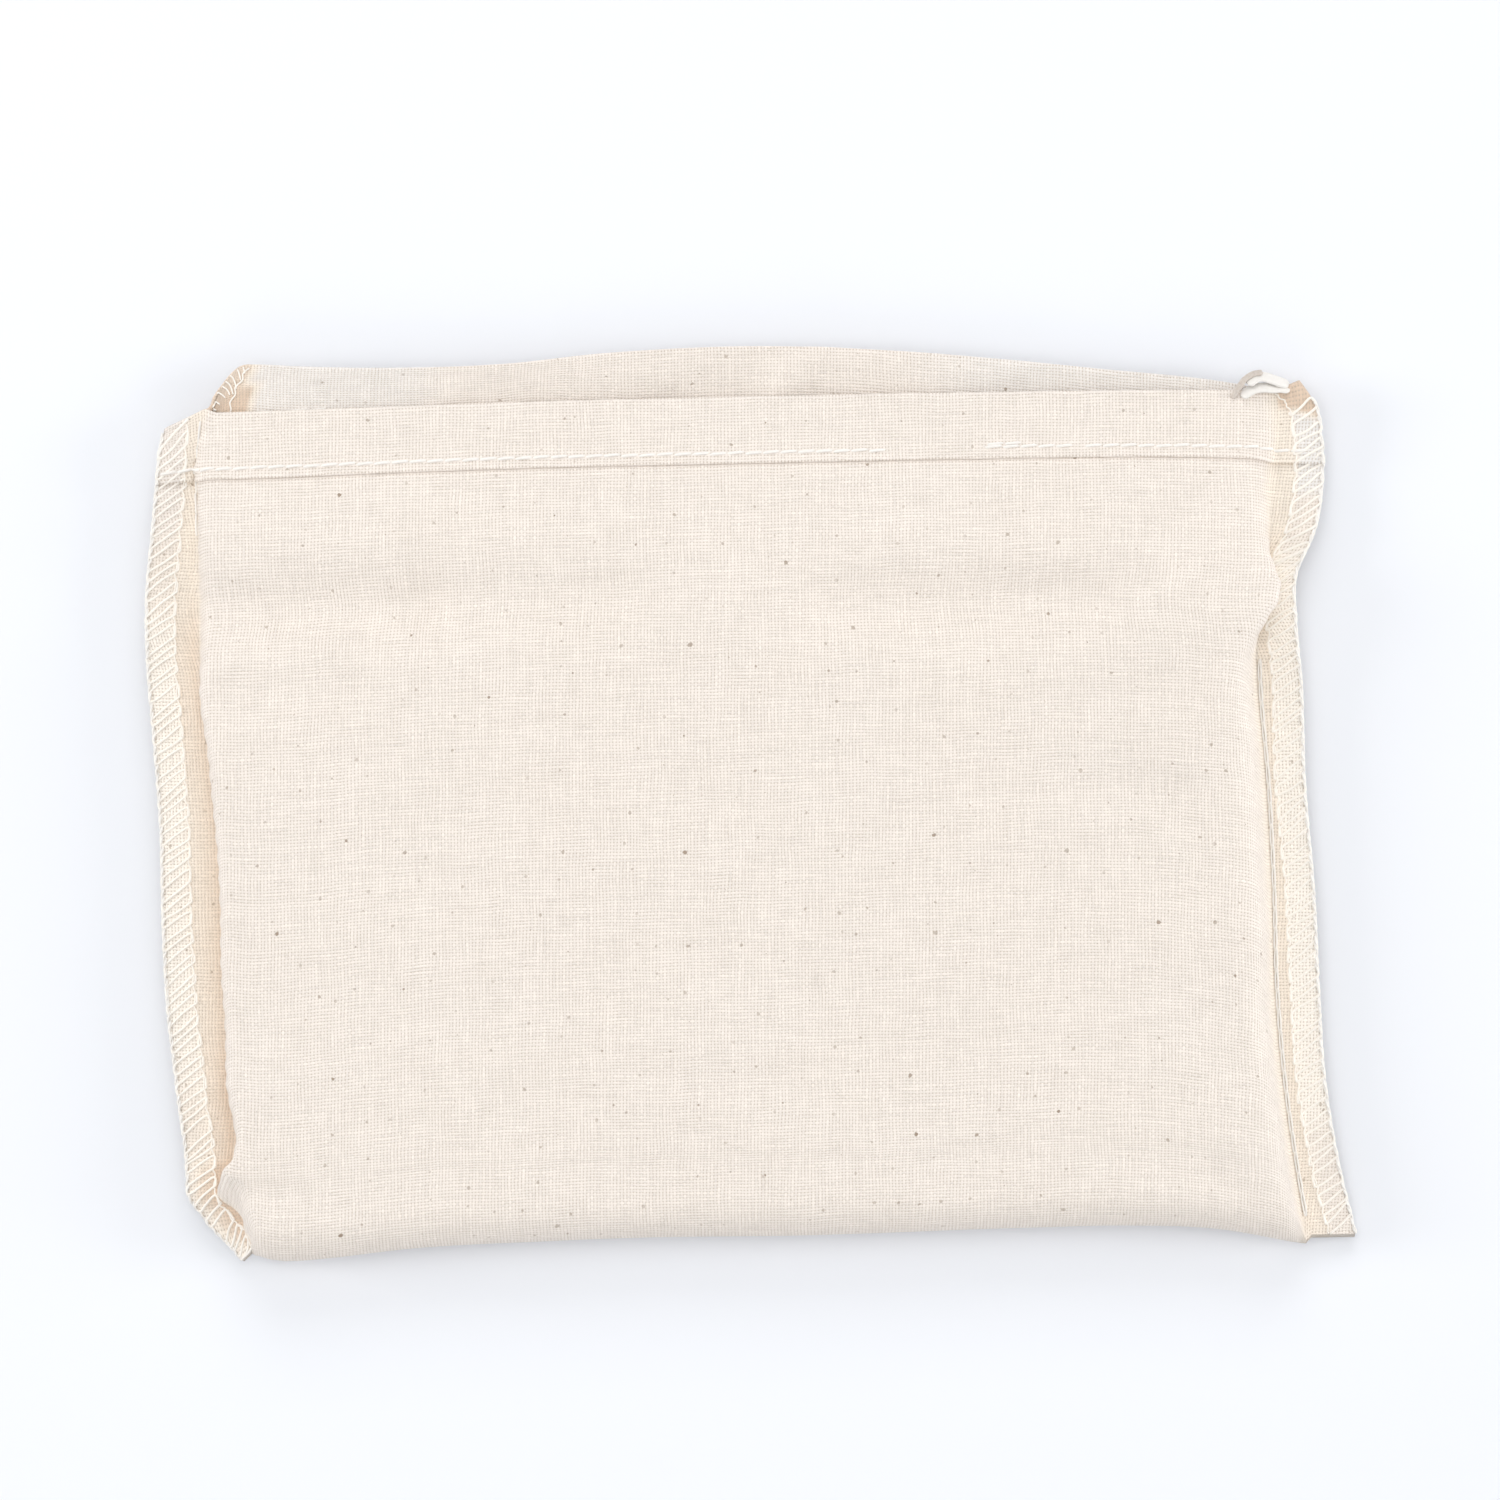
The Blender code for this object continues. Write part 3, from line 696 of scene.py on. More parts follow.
def mitred_normals(rows):
    """For each point of a grid of rows, the offset that moves its surface out by one unit."""
    along = np.gradient(rows, axis=0)
    across = np.diff(rows, axis=1)
    faces = unit(np.cross(across, (along[:, :-1] + along[:, 1:]) / 2))
    before = np.concatenate([faces[:, :1], faces], axis=1)
    after = np.concatenate([faces, faces[:, -1:]], axis=1)
    middle = unit(before + after)
    return middle / np.maximum(np.sum(middle * after, axis=-1, keepdims=True), 0.6)


def turned(first, last, way, reach, steps):
    """The rows of a rounded turn from one row to another, bulging the given way."""
    middle, arm = (first + last) / 2, (first - last) / 2
    angles = np.linspace(0.0, math.pi, steps + 1)[1:-1]
    return [middle + arm * math.cos(a) + way * reach * math.sin(a) for a in angles]


def down_the_rows(rows):
    """Distance of each row from the first, measured along each column."""
    steps = np.linalg.norm(np.diff(rows, axis=0), axis=-1)
    return np.concatenate([np.zeros((1, rows.shape[1])), np.cumsum(steps, axis=0)])


def puff(distance, hem, inset):
    """How a hem swells between its fold and its stitching, and again before its free edge."""
    pillow = np.sin(np.pi * np.clip(distance / inset, 0.0, 1.0))
    rim = np.sin(np.pi * np.clip((distance - inset) / (hem - inset), 0.0, 1.0) * 0.75)
    return HEM_PILLOW * pillow + HEM_RIM * rim


def hemmed(bag, layer, face):
    """A layer's rows from the bottom to the mouth, then its hem: out over the mouth's fold, back
    down the outside, and under again to the tucked raw edge."""
    hem = bag.hem[face]
    normals = mitred_normals(layer) * face
    from_mouth = down_the_rows(layer[::-1])
    middle = layer.shape[1] // 2
    count = int(np.searchsorted(from_mouth[:, middle], hem)) + 1
    distance = from_mouth[:count]
    rows = layer[::-1][:count]
    away = normals[::-1][:count]
    swell = puff(distance, hem, bag.stitch_inset[face])[..., None]
    outer = rows + away * (2 * bag.layer + swell)
    tucked = rows + away * (bag.layer + swell / 2)
    way = unit(np.cross(away[0], np.gradient(layer[-1], axis=0))) * face
    for raw_edge in (0, -1):
        way[raw_edge] = unit(layer[-1] - layer[-2])[raw_edge]
    mouth = turned(layer[-1], outer[0], way, bag.layer, HEM_TURN_STEPS)
    back_way = unit(rows[-1] - rows[-2])
    fold = turned(outer[-1], tucked[-1], back_way, bag.layer / 2, HEM_TURN_STEPS)
    first = int(np.searchsorted(from_mouth[:count, middle], hem - min(bag.tuck, hem - 1.0)))
    under = [tucked[i] for i in range(count - 1, first, -1)]
    strip = [list(layer), mouth, list(outer), fold, under]
    return [np.array(rows) for rows in strip]


class Cloth:
    """The whole cloth as one grid of points, and the parts of it that the sewing goes through."""

    def __init__(self, bag):
        front_parts = hemmed(bag, bag.front, FRONT)
        back_parts = hemmed(bag, bag.back, BACK)
        bottom = self.bottom(bag.front[0], bag.back[0])
        self.thickness = bag.cloth
        self.stitch_inset = bag.stitch_inset
        self.front = bag.front
        self.back = bag.back
        self.front_hem = front_parts[2]
        self.back_hem = back_parts[2]
        front_side = np.concatenate(front_parts)
        back_side = np.concatenate(back_parts)
        self.rows = np.concatenate([front_side[::-1], np.array(bottom), back_side])
        face = [FRONT] * len(front_side) + [BACK] * (len(bottom) + len(back_side))
        self.part = np.tile(np.array(face)[:, None], (1, self.rows.shape[1]))

    @staticmethod
    def bottom(first, last):
        """The rounded bottom from the front cloth to the back cloth."""
        across = first - last
        radius = np.linalg.norm(across, axis=-1, keepdims=True) / 2
        way = np.tile(np.array([0.0, -1.0, 0.0]), (len(first), 1))
        way = unit(way - across * np.sum(way * across, axis=-1, keepdims=True) / (2 * radius) ** 2)
        return turned(first, last, way, radius, BOTTOM_TURN_STEPS)


def add_object(name, data):
    """A new object in the scene."""
    item = bpy.data.objects.new(name, data)
    bpy.context.scene.collection.objects.link(item)
    return item


def add_mesh(name, shape):
    """A mesh from a finished shape."""
    mesh_data = bpy.data.meshes.new(name)
    shape.to_mesh(mesh_data)
    shape.free()
    return mesh_data


def grid_object(name, points, flat):
    """A grid whose rows and columns are moved to the given points, with its flat pattern as UV."""
    rows, columns = points.shape[:2]
    shape = bmesh.new()
    bmesh.ops.create_grid(shape, x_segments=columns - 1, y_segments=rows - 1, size=1.0)
    places = (points - TABLE_ORIGIN).reshape(-1, 3) * MM
    pattern = flat.reshape(-1, 2) * MM
    layer = shape.loops.layers.uv.new("flat_pattern")
    for vertex, place in zip(shape.verts, places):
        vertex.co = place
    shape.verts.index_update()
    for face in shape.faces:
        for loop in face.loops:
            loop[layer].uv = pattern[loop.vert.index]
    return add_object(name, add_mesh(name, shape))


def add_values(item, name, values):
    """A named value at every point of a piece, for its finish to read."""
    attribute = item.data.attributes.new(name, "FLOAT", "POINT")
    attribute.data.foreach_set("value", values.ravel())


Strip = namedtuple("Strip", "columns step along inward")


def edge_strip(rows, side):
    """The cloth along one raw edge: its columns, their steps in from the edge, how far up the bag
    each point lies, and how far in from the edge."""
    step = np.arange(ALLOWANCE_STEPS + 3)
    columns = step if side == LEFT else rows.shape[1] - 1 - step
    beside = rows[:, columns]
    return Strip(columns, step, beside[..., 1], down_the_rows(beside.transpose(1, 0, 2)).T)


def under_overlock(strip):
    """How far each point of a strip lies under the overlock's thread."""
    return falling(strip.inward, OVERLOCK_BAND, OVERLOCK_FADE)


def along_edge(strip, ramps, base=0.0):
    """A value that changes from its base along a raw edge."""
    value = base
    for ramp in ramps:
        value = value + ramp.change * rising(strip.along, ramp.start, ramp.over)
    return value


def thread_cover_and_light(cloth):
    """How far each point of the cloth under the overlock is made paler, partly by the thread's own
    white and partly by painted light.
    """
    band = np.zeros(cloth.rows.shape[:2])
    for side in (LEFT, RIGHT):
        strip = edge_strip(cloth.rows, side)
        low = ease((strip.along - WHITE_LOW) / WHITE_LOW_RAMP + WHITE_LOW_SHIFT * side)
        high = falling(strip.along, WHITE_TOP[side], WHITE_TOP_RAMP)
        band[:, strip.columns] = WHITE_SHARE[side] * under_overlock(strip) * (high * low)
    return band


def edge_painted_shade(strip, side):
    """The painted shade along one raw edge: deepest in the groove beside the seam, and palest among the
    overlock's threads."""
    step = strip.step
    reach = len(step)
    before_body = falling(step, reach - 0.5, 3.0)
    deep = np.clip((step - GROOVE_START) / GROOVE_STEPS, 0.0, 1.0) * before_body
    deep = deep * along_edge(strip, GROOVE_SHADE[side])
    if side == LEFT:
        deep += rising(step, 1.0, 2.0) * before_body * along_edge(strip, (LEFT_CORNER_SHADE,))
        deep *= along_edge(strip, (LEFT_CORNER_END,))
    near = along_edge(strip, OVERLOCK_SHADE[side], OVERLOCK_SHADE_BASE[side])
    return falling(step, reach, 3.0) * blend(1.0, near, under_overlock(strip)) + deep


def seam_painted_shade(cloth):
    """How far each point of the cloth takes the allowances' painted warm shade, beyond one the painted
    deep shade, and below nothing the painted cool shade."""
    x, y = cloth.rows[..., 0], cloth.rows[..., 1]
    back = cloth.part == BACK
    tint = np.zeros(x.shape)
    lip = rising(y, *LIP_SHADE_UP) * back
    tint -= lip * LIP_SHADE * (falling(x, *LIP_SHADE_LEFT) + rising(x, *LIP_SHADE_RIGHT))
    for side in (LEFT, RIGHT):
        strip = edge_strip(cloth.rows, side)
        tint[:, strip.columns] = edge_painted_shade(strip, side)
    # The back's curled left corner and the right's sewn corner are painted deep shade.
    pocket = falling(x, *POCKET_END) * rising(y, *POCKET_UP) * back
    above_line = y - 64.5 - 0.45 * (x + 87.0)
    tint = blend(tint, POCKET_SHADE - POCKET_SHADE_FALL * ease(above_line / POCKET_SHADE_RAMP), pocket)
    above_line = y - 64.6 + 0.3 * (x - 86.0)
    corner = rising(x, *CORNER_START) * ease(above_line / CORNER_SHADE_RAMP)
    return blend(tint, CORNER_SHADE, corner)


def flat_pattern(rows):
    """Where each point of the cloth lies when the cloth is opened out flat, from the bag's middle."""
    down = down_the_rows(rows)[:, rows.shape[1] // 2]
    across = down_the_rows(rows.transpose(1, 0, 2)).T
    middle = np.array([np.interp(0.0, row[:, 0], along) for row, along in zip(rows, across)])
    across = across - middle[:, None]
    return np.stack([across, np.broadcast_to(down[:, None], across.shape)], axis=-1)


# ---- Finishes ----


class Field:
    """A value in a shader's nodes, which can be reckoned with like a number."""

    def __init__(self, tree, socket):
        self.tree = tree
        self.socket = socket

    def math(self, operation, *values):
        """A math node fed by fields or numbers."""
        node = self.tree.nodes.new("ShaderNodeMath")
        node.operation = operation
        for socket, value in zip(node.inputs, values):
            feed(socket, value)
        return Field(self.tree, node.outputs[0])

    def __add__(self, other):
        return self.math("ADD", self, other)

    def __sub__(self, other):
        return self.math("SUBTRACT", self, other)

    def __rsub__(self, other):
        return self.math("SUBTRACT", other, self)

    def __mul__(self, other):
        return self.math("MULTIPLY", self, other)

    def __truediv__(self, other):
        return self.math("DIVIDE", self, other)

    def scaled(self, scale, plus):
        """The value times a scale, plus something."""
        return self.math("MULTIPLY_ADD", self, scale, plus)

    def apply(self, operation, *others):
        """Any other operation on the value."""
        return self.math(operation, self, *others)

    def clamped(self):
        """The same value, kept between 0 and 1 by the node that works it out."""
        self.socket.node.use_clamp = True
        return self


def feed(socket, value):
    """Gives a node's input a link from a field, or a value of its own."""
    if isinstance(value, Field):
        value.tree.links.new(value.socket, socket)
    else:
        socket.default_value = value


def fields_of(tree, node):
    """A node's outputs by name."""
    return {socket.name: Field(tree, socket) for socket in node.outputs}


def noise_at(place, scale, detail=2.0, roughness=0.5):
    """Soft noise between 0 and 1 at each place."""
    node = place.tree.nodes.new("ShaderNodeTexNoise")
    node.inputs["Scale"].default_value = scale
    node.inputs["Detail"].default_value = detail
    node.inputs["Roughness"].default_value = roughness
    feed(node.inputs["Vector"], place)
    return Field(place.tree, node.outputs["Fac"])


def combine(x, y, z=0.0):
    """A vector from fields or numbers, of which the first is a field."""
    node = x.tree.nodes.new("ShaderNodeCombineXYZ")
    for socket, value in zip(node.inputs, (x, y, z)):
        feed(socket, value)
    return Field(x.tree, node.outputs[0])


def separate(vector, kind="ShaderNodeSeparateXYZ"):
    """A vector's or a colour's three values."""
    node = vector.tree.nodes.new(kind)
    feed(node.inputs[0], vector)
    return [Field(vector.tree, socket) for socket in node.outputs]


# Which sockets of a mix node serve colours: the share and both colours, and the result.
MIX_INPUTS = (0, 6, 7)
MIX_OUTPUT = 2


def mix_colours(tree, share, first, last, mode="MIX"):
    """Two colours mixed by a share."""
    node = tree.nodes.new("ShaderNodeMix")
    node.data_type = "RGBA"
    node.blend_type = mode
    for place, value in zip(MIX_INPUTS, (share, first, last)):
        feed(node.inputs[place], value)
    return Field(tree, node.outputs[MIX_OUTPUT])


def new_group(name, inputs, outputs):
    """An empty shader node group, what it is given by name, and its end node."""
    group = bpy.data.node_groups.new(name, "ShaderNodeTree")
    group.interface.new_socket("Pattern", in_out="INPUT", socket_type="NodeSocketVector")
    for label, default in inputs.items():
        socket = group.interface.new_socket(label, in_out="INPUT", socket_type="NodeSocketFloat")
        socket.default_value = default
    for label in outputs:
        group.interface.new_socket(label, in_out="OUTPUT", socket_type="NodeSocketFloat")
    given = fields_of(group, group.nodes.new("NodeGroupInput"))
    return group, given, group.nodes.new("NodeGroupOutput")


def use_group(tree, group, **values):
    """What a node group gives by name, with its own inputs fed by name."""
    node = tree.nodes.new("ShaderNodeGroup")
    node.node_tree = group
    for label, value in values.items():
        feed(node.inputs[label.replace("_", " ")], value)
    return fields_of(tree, node)


Threads = namedtuple("Threads", "number offset travel")


def count_threads(given):
    """The warp's and the weft's threads under each point: the thread's number, how far the point
    is from its middle, and how far along it the point lies."""
    places = separate(given["Pattern"])
    wander = noise_at(given["Pattern"], WANDER_SCALE)
    sets = []
    for axis, pitch, way in ((0, "Warp Pitch", 1.0), (1, "Weft Pitch", -1.0)):
        drift = (wander - 0.5) * (WANDER * way)
        count = places[axis] / given[pitch] + drift
        number = count.apply("FLOOR")
        sets.append(Threads(number, count.apply("FRACT") - 0.5, places[1 - axis]))
    return sets


def warp_over(warp, weft):
    """1 where the warp crosses over the weft, and -1 where it crosses under."""
    return ((warp.number + weft.number) * 0.5).apply("FRACT") * 4.0 - 1.0


def thread_shape(slub, index, threads, crossed, over, patch):
    """One set of threads, whose index is 0 for the warp and 1 for the weft: how high each point of
    it stands, and how thick it is there."""
    way = 1.0 - 2.0 * index
    place = combine(threads.number * THREAD_STEP, threads.travel * SLUB_SCALE, SET_STEP * index)
    thickness = noise_at(place, 1.0, detail=3.0, roughness=0.6)
    across = threads.offset * 2.0 / thickness.scaled(slub, plus=THREAD_WIDTH)
    round_top = (1.0 - across.apply("ABSOLUTE").apply("POWER", 2.0)).apply("MAXIMUM", 0.0)
    crimp = (crossed.offset * math.pi).apply("COSINE") * over * (CRIMP * way) + THREAD_HEIGHT
    return round_top * patch.scaled(PATCH * way, plus=crimp), thickness


def weave_group():
    """Plain weave on a flat pattern in metres: its relief, its gaps and each thread's own shade."""
    sizes = {"Warp Pitch": 0.00055, "Weft Pitch": 0.00052, "Slub": SLUB}
    group, given, end = new_group("plain_weave", sizes, ("Relief", "Gap", "Shade"))
    warp, weft = count_threads(given)
    over = warp_over(warp, weft)
    patch = noise_at(given["Pattern"], PATCH_SCALE, detail=1.0) - PATCH_MIDDLE
    warp_height, warp_shade = thread_shape(given["Slub"], 0, warp, weft, over, patch)
    weft_height, weft_shade = thread_shape(given["Slub"], 1, weft, warp, over, patch)
    relief = warp_height.apply("MAXIMUM", weft_height)
    warp_on_top = warp_height.apply("GREATER_THAN", weft_height)
    feed(end.inputs["Relief"], relief)
    feed(end.inputs["Gap"], (1.0 - relief / GAP_HEIGHT).clamped())
    feed(end.inputs["Shade"], (warp_shade - weft_shade).scaled(warp_on_top, plus=weft_shade))
    return group


def fleck_group():
    """Scattered seed flecks on a flat pattern in metres: how much of each point a fleck covers."""
    sizes = {"Spacing": 0.012, "Size": 0.00025, "Share": 0.5}
    group, given, end = new_group("seed_flecks", sizes, ("Fleck",))
    spacing = given["Spacing"]
    x, y, _ = separate(given["Pattern"])
    wobble = noise_at(given["Pattern"], 1500.0, detail=1.0)
    spots = group.nodes.new("ShaderNodeTexVoronoi")
    spots.voronoi_dimensions = "2D"
    spots.inputs["Scale"].default_value = 1.0
    feed(spots.inputs["Vector"], combine(x / spacing, y / spacing))
    found = fields_of(group, spots)
    chance, size, depth = separate(found["Color"], "ShaderNodeSeparateColor")
    radius = given["Size"] / spacing * size.scaled(1.2, plus=0.4)
    radius = radius * wobble.scaled(2.4, plus=-0.2)
    cover = ((1.0 - found["Distance"] / radius).clamped() * FLECK_EDGE).clamped()
    cover = cover * chance.apply("LESS_THAN", given["Share"])
    feed(end.inputs["Fleck"], cover * depth.scaled(0.6, plus=0.4))
    return group


def rgba(colour):
    """A colour with its full cover."""
    return (*colour, 1.0)


def new_material(name, roughness, sheen):
    """A matt material, its nodes and its shader."""
    material = bpy.data.materials.new(name)
    material.use_nodes = True
    shader = material.node_tree.nodes["Principled BSDF"]
    shader.inputs["Roughness"].default_value = roughness
    shader.inputs["Sheen Weight"].default_value = sheen
    shader.inputs["Sheen Roughness"].default_value = 0.6
    shader.inputs["Specular IOR Level"].default_value = 0.25
    return material, material.node_tree, shader


def dress(tree, shader, colour, height, strength, distance):
    """Gives a shader its colour and its fine relief."""
    feed(shader.inputs["Base Color"], colour)
    bump = tree.nodes.new("ShaderNodeBump")
    bump.inputs["Strength"].default_value = strength
    bump.inputs["Distance"].default_value = distance
    feed(bump.inputs["Height"], height)
    tree.links.new(bump.outputs["Normal"], shader.inputs["Normal"])


def stored_value(tree, name):
    """A value that the cloth's points carry."""
    node = tree.nodes.new("ShaderNodeAttribute")
    node.attribute_name = name
    return Field(tree, node.outputs["Fac"])


def cloth_colour(tree, pattern, settings):
    """The cloth's own colour, with its warm patches, painted shade at its seams, corners and lip, and
    painted light under the overlock.
    """
    tint = stored_value(tree, "seam_painted_shade")
    colour = rgba(settings.colour)
    for share, other in (
        ((noise_at(pattern, 45.0, detail=3.0) - 0.5).scaled(0.5, plus=0.3), settings.warm_colour),
        (tint.apply("MINIMUM", 1.0), settings.allowance_shade_colour),
        ((tint - 1.0).clamped(), settings.deep_shade_colour),
        ((tint * -1.0).clamped(), settings.shaded_colour),
        (stored_value(tree, "thread_cover_and_light"), settings.thread_cover_and_light_colour),
    ):
        colour = mix_colours(tree, share, colour, rgba(other))
    return colour


def seed_flecks(tree, pattern):
    """Fine pale flecks and fewer dark ones."""
    group = fleck_group()
    dark = use_group(tree, group, Pattern=pattern, Spacing=0.012, Size=0.00025, Share=0.55)
    faint = use_group(tree, group, Pattern=pattern, Spacing=0.0055, Size=0.00019, Share=0.65)
    return (faint["Fleck"] * FAINT_FLECKS).apply("MAXIMUM", dark["Fleck"] * DARK_FLECKS)


def calico(settings):
    """Unbleached plain-weave cotton with slubs and seed flecks."""
    material, tree, shader = new_material("unbleached_calico", roughness=0.92, sheen=0.12)
    uv_map = tree.nodes.new("ShaderNodeUVMap")
    uv_map.uv_map = "flat_pattern"
    pattern = Field(tree, uv_map.outputs["UV"])
    pitch = {"Warp_Pitch": settings.warp_pitch, "Weft_Pitch": settings.weft_pitch}
    weave = use_group(tree, weave_group(), Pattern=pattern, Slub=SLUB, **pitch)
    colour = cloth_colour(tree, pattern, settings)
    shade = weave["Shade"].scaled(SHADE, plus=SHADE_BASE)
    colour = mix_colours(tree, 1.0, colour, combine(shade, shade, shade), "MULTIPLY")
    colour = mix_colours(tree, weave["Gap"] * GAP_DEPTH, colour, rgba(settings.gap_colour))
    colour = mix_colours(tree, seed_flecks(tree, pattern), colour, rgba(settings.fleck_colour))
    relief = noise_at(pattern, 3000.0).scaled(FUZZ, plus=weave["Relief"])
    dress(tree, shader, colour, relief, strength=0.88, distance=0.00012)
    return material


def cotton_thread(name, pale, shade):
    """Spun sewing thread."""
    material, tree, shader = new_material(name, roughness=0.7, sheen=0.2)
    place = Field(tree, tree.nodes.new("ShaderNodeTexCoord").outputs["Object"])
    fibre = noise_at(place, 2600.0)
    colour = mix_colours(tree, fibre, rgba(pale), rgba(shade))
    dress(tree, shader, colour, fibre, strength=0.5, distance=0.00005)
    return material


# ---- Sewing ----


def grid_normals(rows, face):
    """Unit normals of a grid, all on its front or its back side."""
    across = np.gradient(rows, axis=1)
    along = np.gradient(rows, axis=0)
    normals = unit(np.cross(across, along))
    if np.mean(normals[..., 2]) * face < 0:
        normals = -normals
    return normals


def look_up(values, rows, columns):
    """Values of a grid at fractional rows and columns."""
    rows = np.clip(rows, 0, values.shape[0] - 1.001)
    columns = np.clip(columns, 0, values.shape[1] - 1.001)
    r, c = np.floor(rows).astype(int), np.floor(columns).astype(int)
    s, t = (rows - r)[:, None], (columns - c)[:, None]
    near = blend(values[r, c], values[r, c + 1], t)
    far = blend(values[r + 1, c], values[r + 1, c + 1], t)
    return blend(near, far, s)


class Skin:
    """A grid of points on the cloth's surface and their normals."""

    def __init__(self, points, normals):
        self.points = points
        self.normals = normals

    def at(self, rows, columns, height):
        """Points above the skin at fractional rows and columns."""
        height = np.broadcast_to(height, np.shape(rows))[:, None]
        return look_up(self.points, rows, columns) + look_up(self.normals, rows, columns) * height


def outer_skin(cloth, face):
    """The outside of one face of the cloth, from the bottom over its hem to the mouth."""
    layer = cloth.front if face == FRONT else cloth.back
    hem = (cloth.front_hem if face == FRONT else cloth.back_hem)[::-1]
    below = grid_normals(layer, face)[: -len(hem)]
    normals = np.concatenate([below, grid_normals(hem, face)])
    rows = np.concatenate([layer[: -len(hem)], hem])
    return Skin(rows + normals * cloth.thickness / 2, normals)


class EdgeCourse:
    """A line of sewing along a side's raw edge, walked by distance along it, with a distance
    inward from it and a height above the cloth."""

    def __init__(self, skin, side, inset=0.0):
        reach = ALLOWANCE_STEPS + SIDE_STEPS
        order = slice(None, reach) if side == LEFT else slice(None, -reach - 1, -1)
        self.skin = Skin(skin.points[:, order], skin.normals[:, order])
        self.rows = np.arange(len(skin.points))
        self.along = down_the_rows(self.skin.points)[:, 0]
        self.across = down_the_rows(self.skin.points.transpose(1, 0, 2)).T
        self.inset = np.broadcast_to(inset, self.along.shape)
        self.length = self.along[-1]

    def at(self, distance, aside, height):
        """Points at distances along the edge, in from the course's own line and above the cloth."""
        row = np.interp(distance, self.along, self.rows)
        inward = np.interp(row, self.rows, self.inset) + aside
        nearest = np.rint(row).astype(int)
        columns = np.arange(self.across.shape[1])
        column = np.array([np.interp(v, self.across[r], columns) for v, r in zip(inward, nearest)])
        points = self.skin.at(row, column, height)
        edge = look_up(self.skin.points, row, 0.0 * row)
        inner = look_up(self.skin.points, row, 0.0 * row + 1.0)
        return points + unit(inner - edge) * np.minimum(inward, 0.0)[:, None]

    def distance_to(self, y):
        """How far along the edge the bag reaches a place between its bottom and its mouth."""
        return np.interp(y, self.skin.points[:, 0, 1], self.along)


class HemCourse:
    """A line of sewing along a hem, walked by distance from its left end, with a distance up
    towards the mouth and a height above the cloth."""

    def __init__(self, rows, side, inset, thickness):
        normals = grid_normals(rows, side)
        points = rows + normals * thickness / 2
        middle = points.shape[1] // 2
        self.skin = Skin(points, normals)
        self.row = np.interp(inset, down_the_rows(rows)[:, middle], np.arange(len(rows)))
        self.columns = np.arange(points.shape[1], dtype=float)
        line = look_up(points, np.full(len(self.columns), self.row), self.columns)
        self.along = down_the_rows(line[:, None])[:, 0]
        self.line_x = np.maximum.accumulate(line[:, 0])
        self.step = np.mean(np.linalg.norm(np.diff(points[:, middle], axis=0), axis=-1))

    def at(self, distance, aside, height):
        """Points at distances along the hem, up from the course's own line and above the cloth."""
        column = np.interp(distance, self.along, self.columns)
        row = np.broadcast_to(self.row + np.asarray(aside) / self.step, np.shape(column))
        return self.skin.at(row, column, height)

    def distance_to(self, x):
        """How far along the hem it reaches a place across the bag."""
        return np.interp(x, self.line_x, self.along)


def smooth_path(points, steps):
    """A path through all the given points, rounded between them."""
    points = np.asarray(points)
    padded = np.concatenate([points[:1] * 2 - points[1:2], points, points[-1:] * 2 - points[-2:-1]])
    t = np.linspace(0.0, 1.0, steps, endpoint=False)[:, None]
    pieces = []
    for a, b, c, d in zip(padded[:-3], padded[1:-2], padded[2:-1], padded[3:]):
        cubic = (-a + 3 * b - 3 * c + d) * t**3 + (2 * a - 5 * b + 4 * c - d) * t**2
        pieces.append(0.5 * (cubic + (c - a) * t + 2 * b))
    return np.concatenate(pieces + [points[-1:]])


def thread_tubes(name, paths, radius):
    """One mesh of round threads with closed ends."""
    curve = bpy.data.curves.new(name, "CURVE")
    curve.dimensions = "3D"
    curve.bevel_depth = radius * MM
    curve.bevel_resolution = (THREAD_SIDES - 4) // 2
    curve.use_fill_caps = True
    for path in paths:
        spline = curve.splines.new("POLY")
        spline.points.add(len(path) - 1)
        places = (np.asarray(path) - TABLE_ORIGIN) * MM
        corners = np.concatenate([places, np.ones((len(path), 1))], axis=1)
        spline.points.foreach_set("co", corners.ravel())
    guide = add_object(name, curve)
    depsgraph = bpy.context.evaluated_depsgraph_get()
    tubes = bpy.data.meshes.new_from_object(guide.evaluated_get(depsgraph))
    bpy.data.objects.remove(guide, do_unlink=True)
    return tubes


def thread_object(name, bundles, finishes):
    """Round threads joined as one mesh: each bundle has its paths, its radius and its finish."""
    shape = bmesh.new()
    for paths, radius, finish in bundles:
        before = len(shape.faces)
        tubes = thread_tubes(name, paths, radius)
        shape.from_mesh(tubes)
        bpy.data.meshes.remove(tubes)
        shape.faces.ensure_lookup_table()
        for face in shape.faces[before:]:
            face.material_index = finish
    bmesh.ops.remove_doubles(shape, verts=shape.verts, dist=MM * 0.002)
    bmesh.ops.recalc_face_normals(shape, faces=shape.faces)
    mesh_data = add_mesh(name, shape)
    mesh_data.shade_smooth()
    for finish in finishes:
        mesh_data.materials.append(finish)
    return add_object(name, mesh_data)


def on_layer(rows, normals, down, columns, height):
    """Points above a layer at distances from its mouth along fractional columns."""
    from_mouth = down_the_rows(rows[::-1])
    last = len(rows) - 1
    places = []
    for distance, column in zip(down, columns):
        places.append(last - np.interp(distance, from_mouth[:, int(column)], np.arange(last + 1)))
    places = np.array(places)
    return look_up(rows, places, columns) + look_up(normals, places, columns) * height


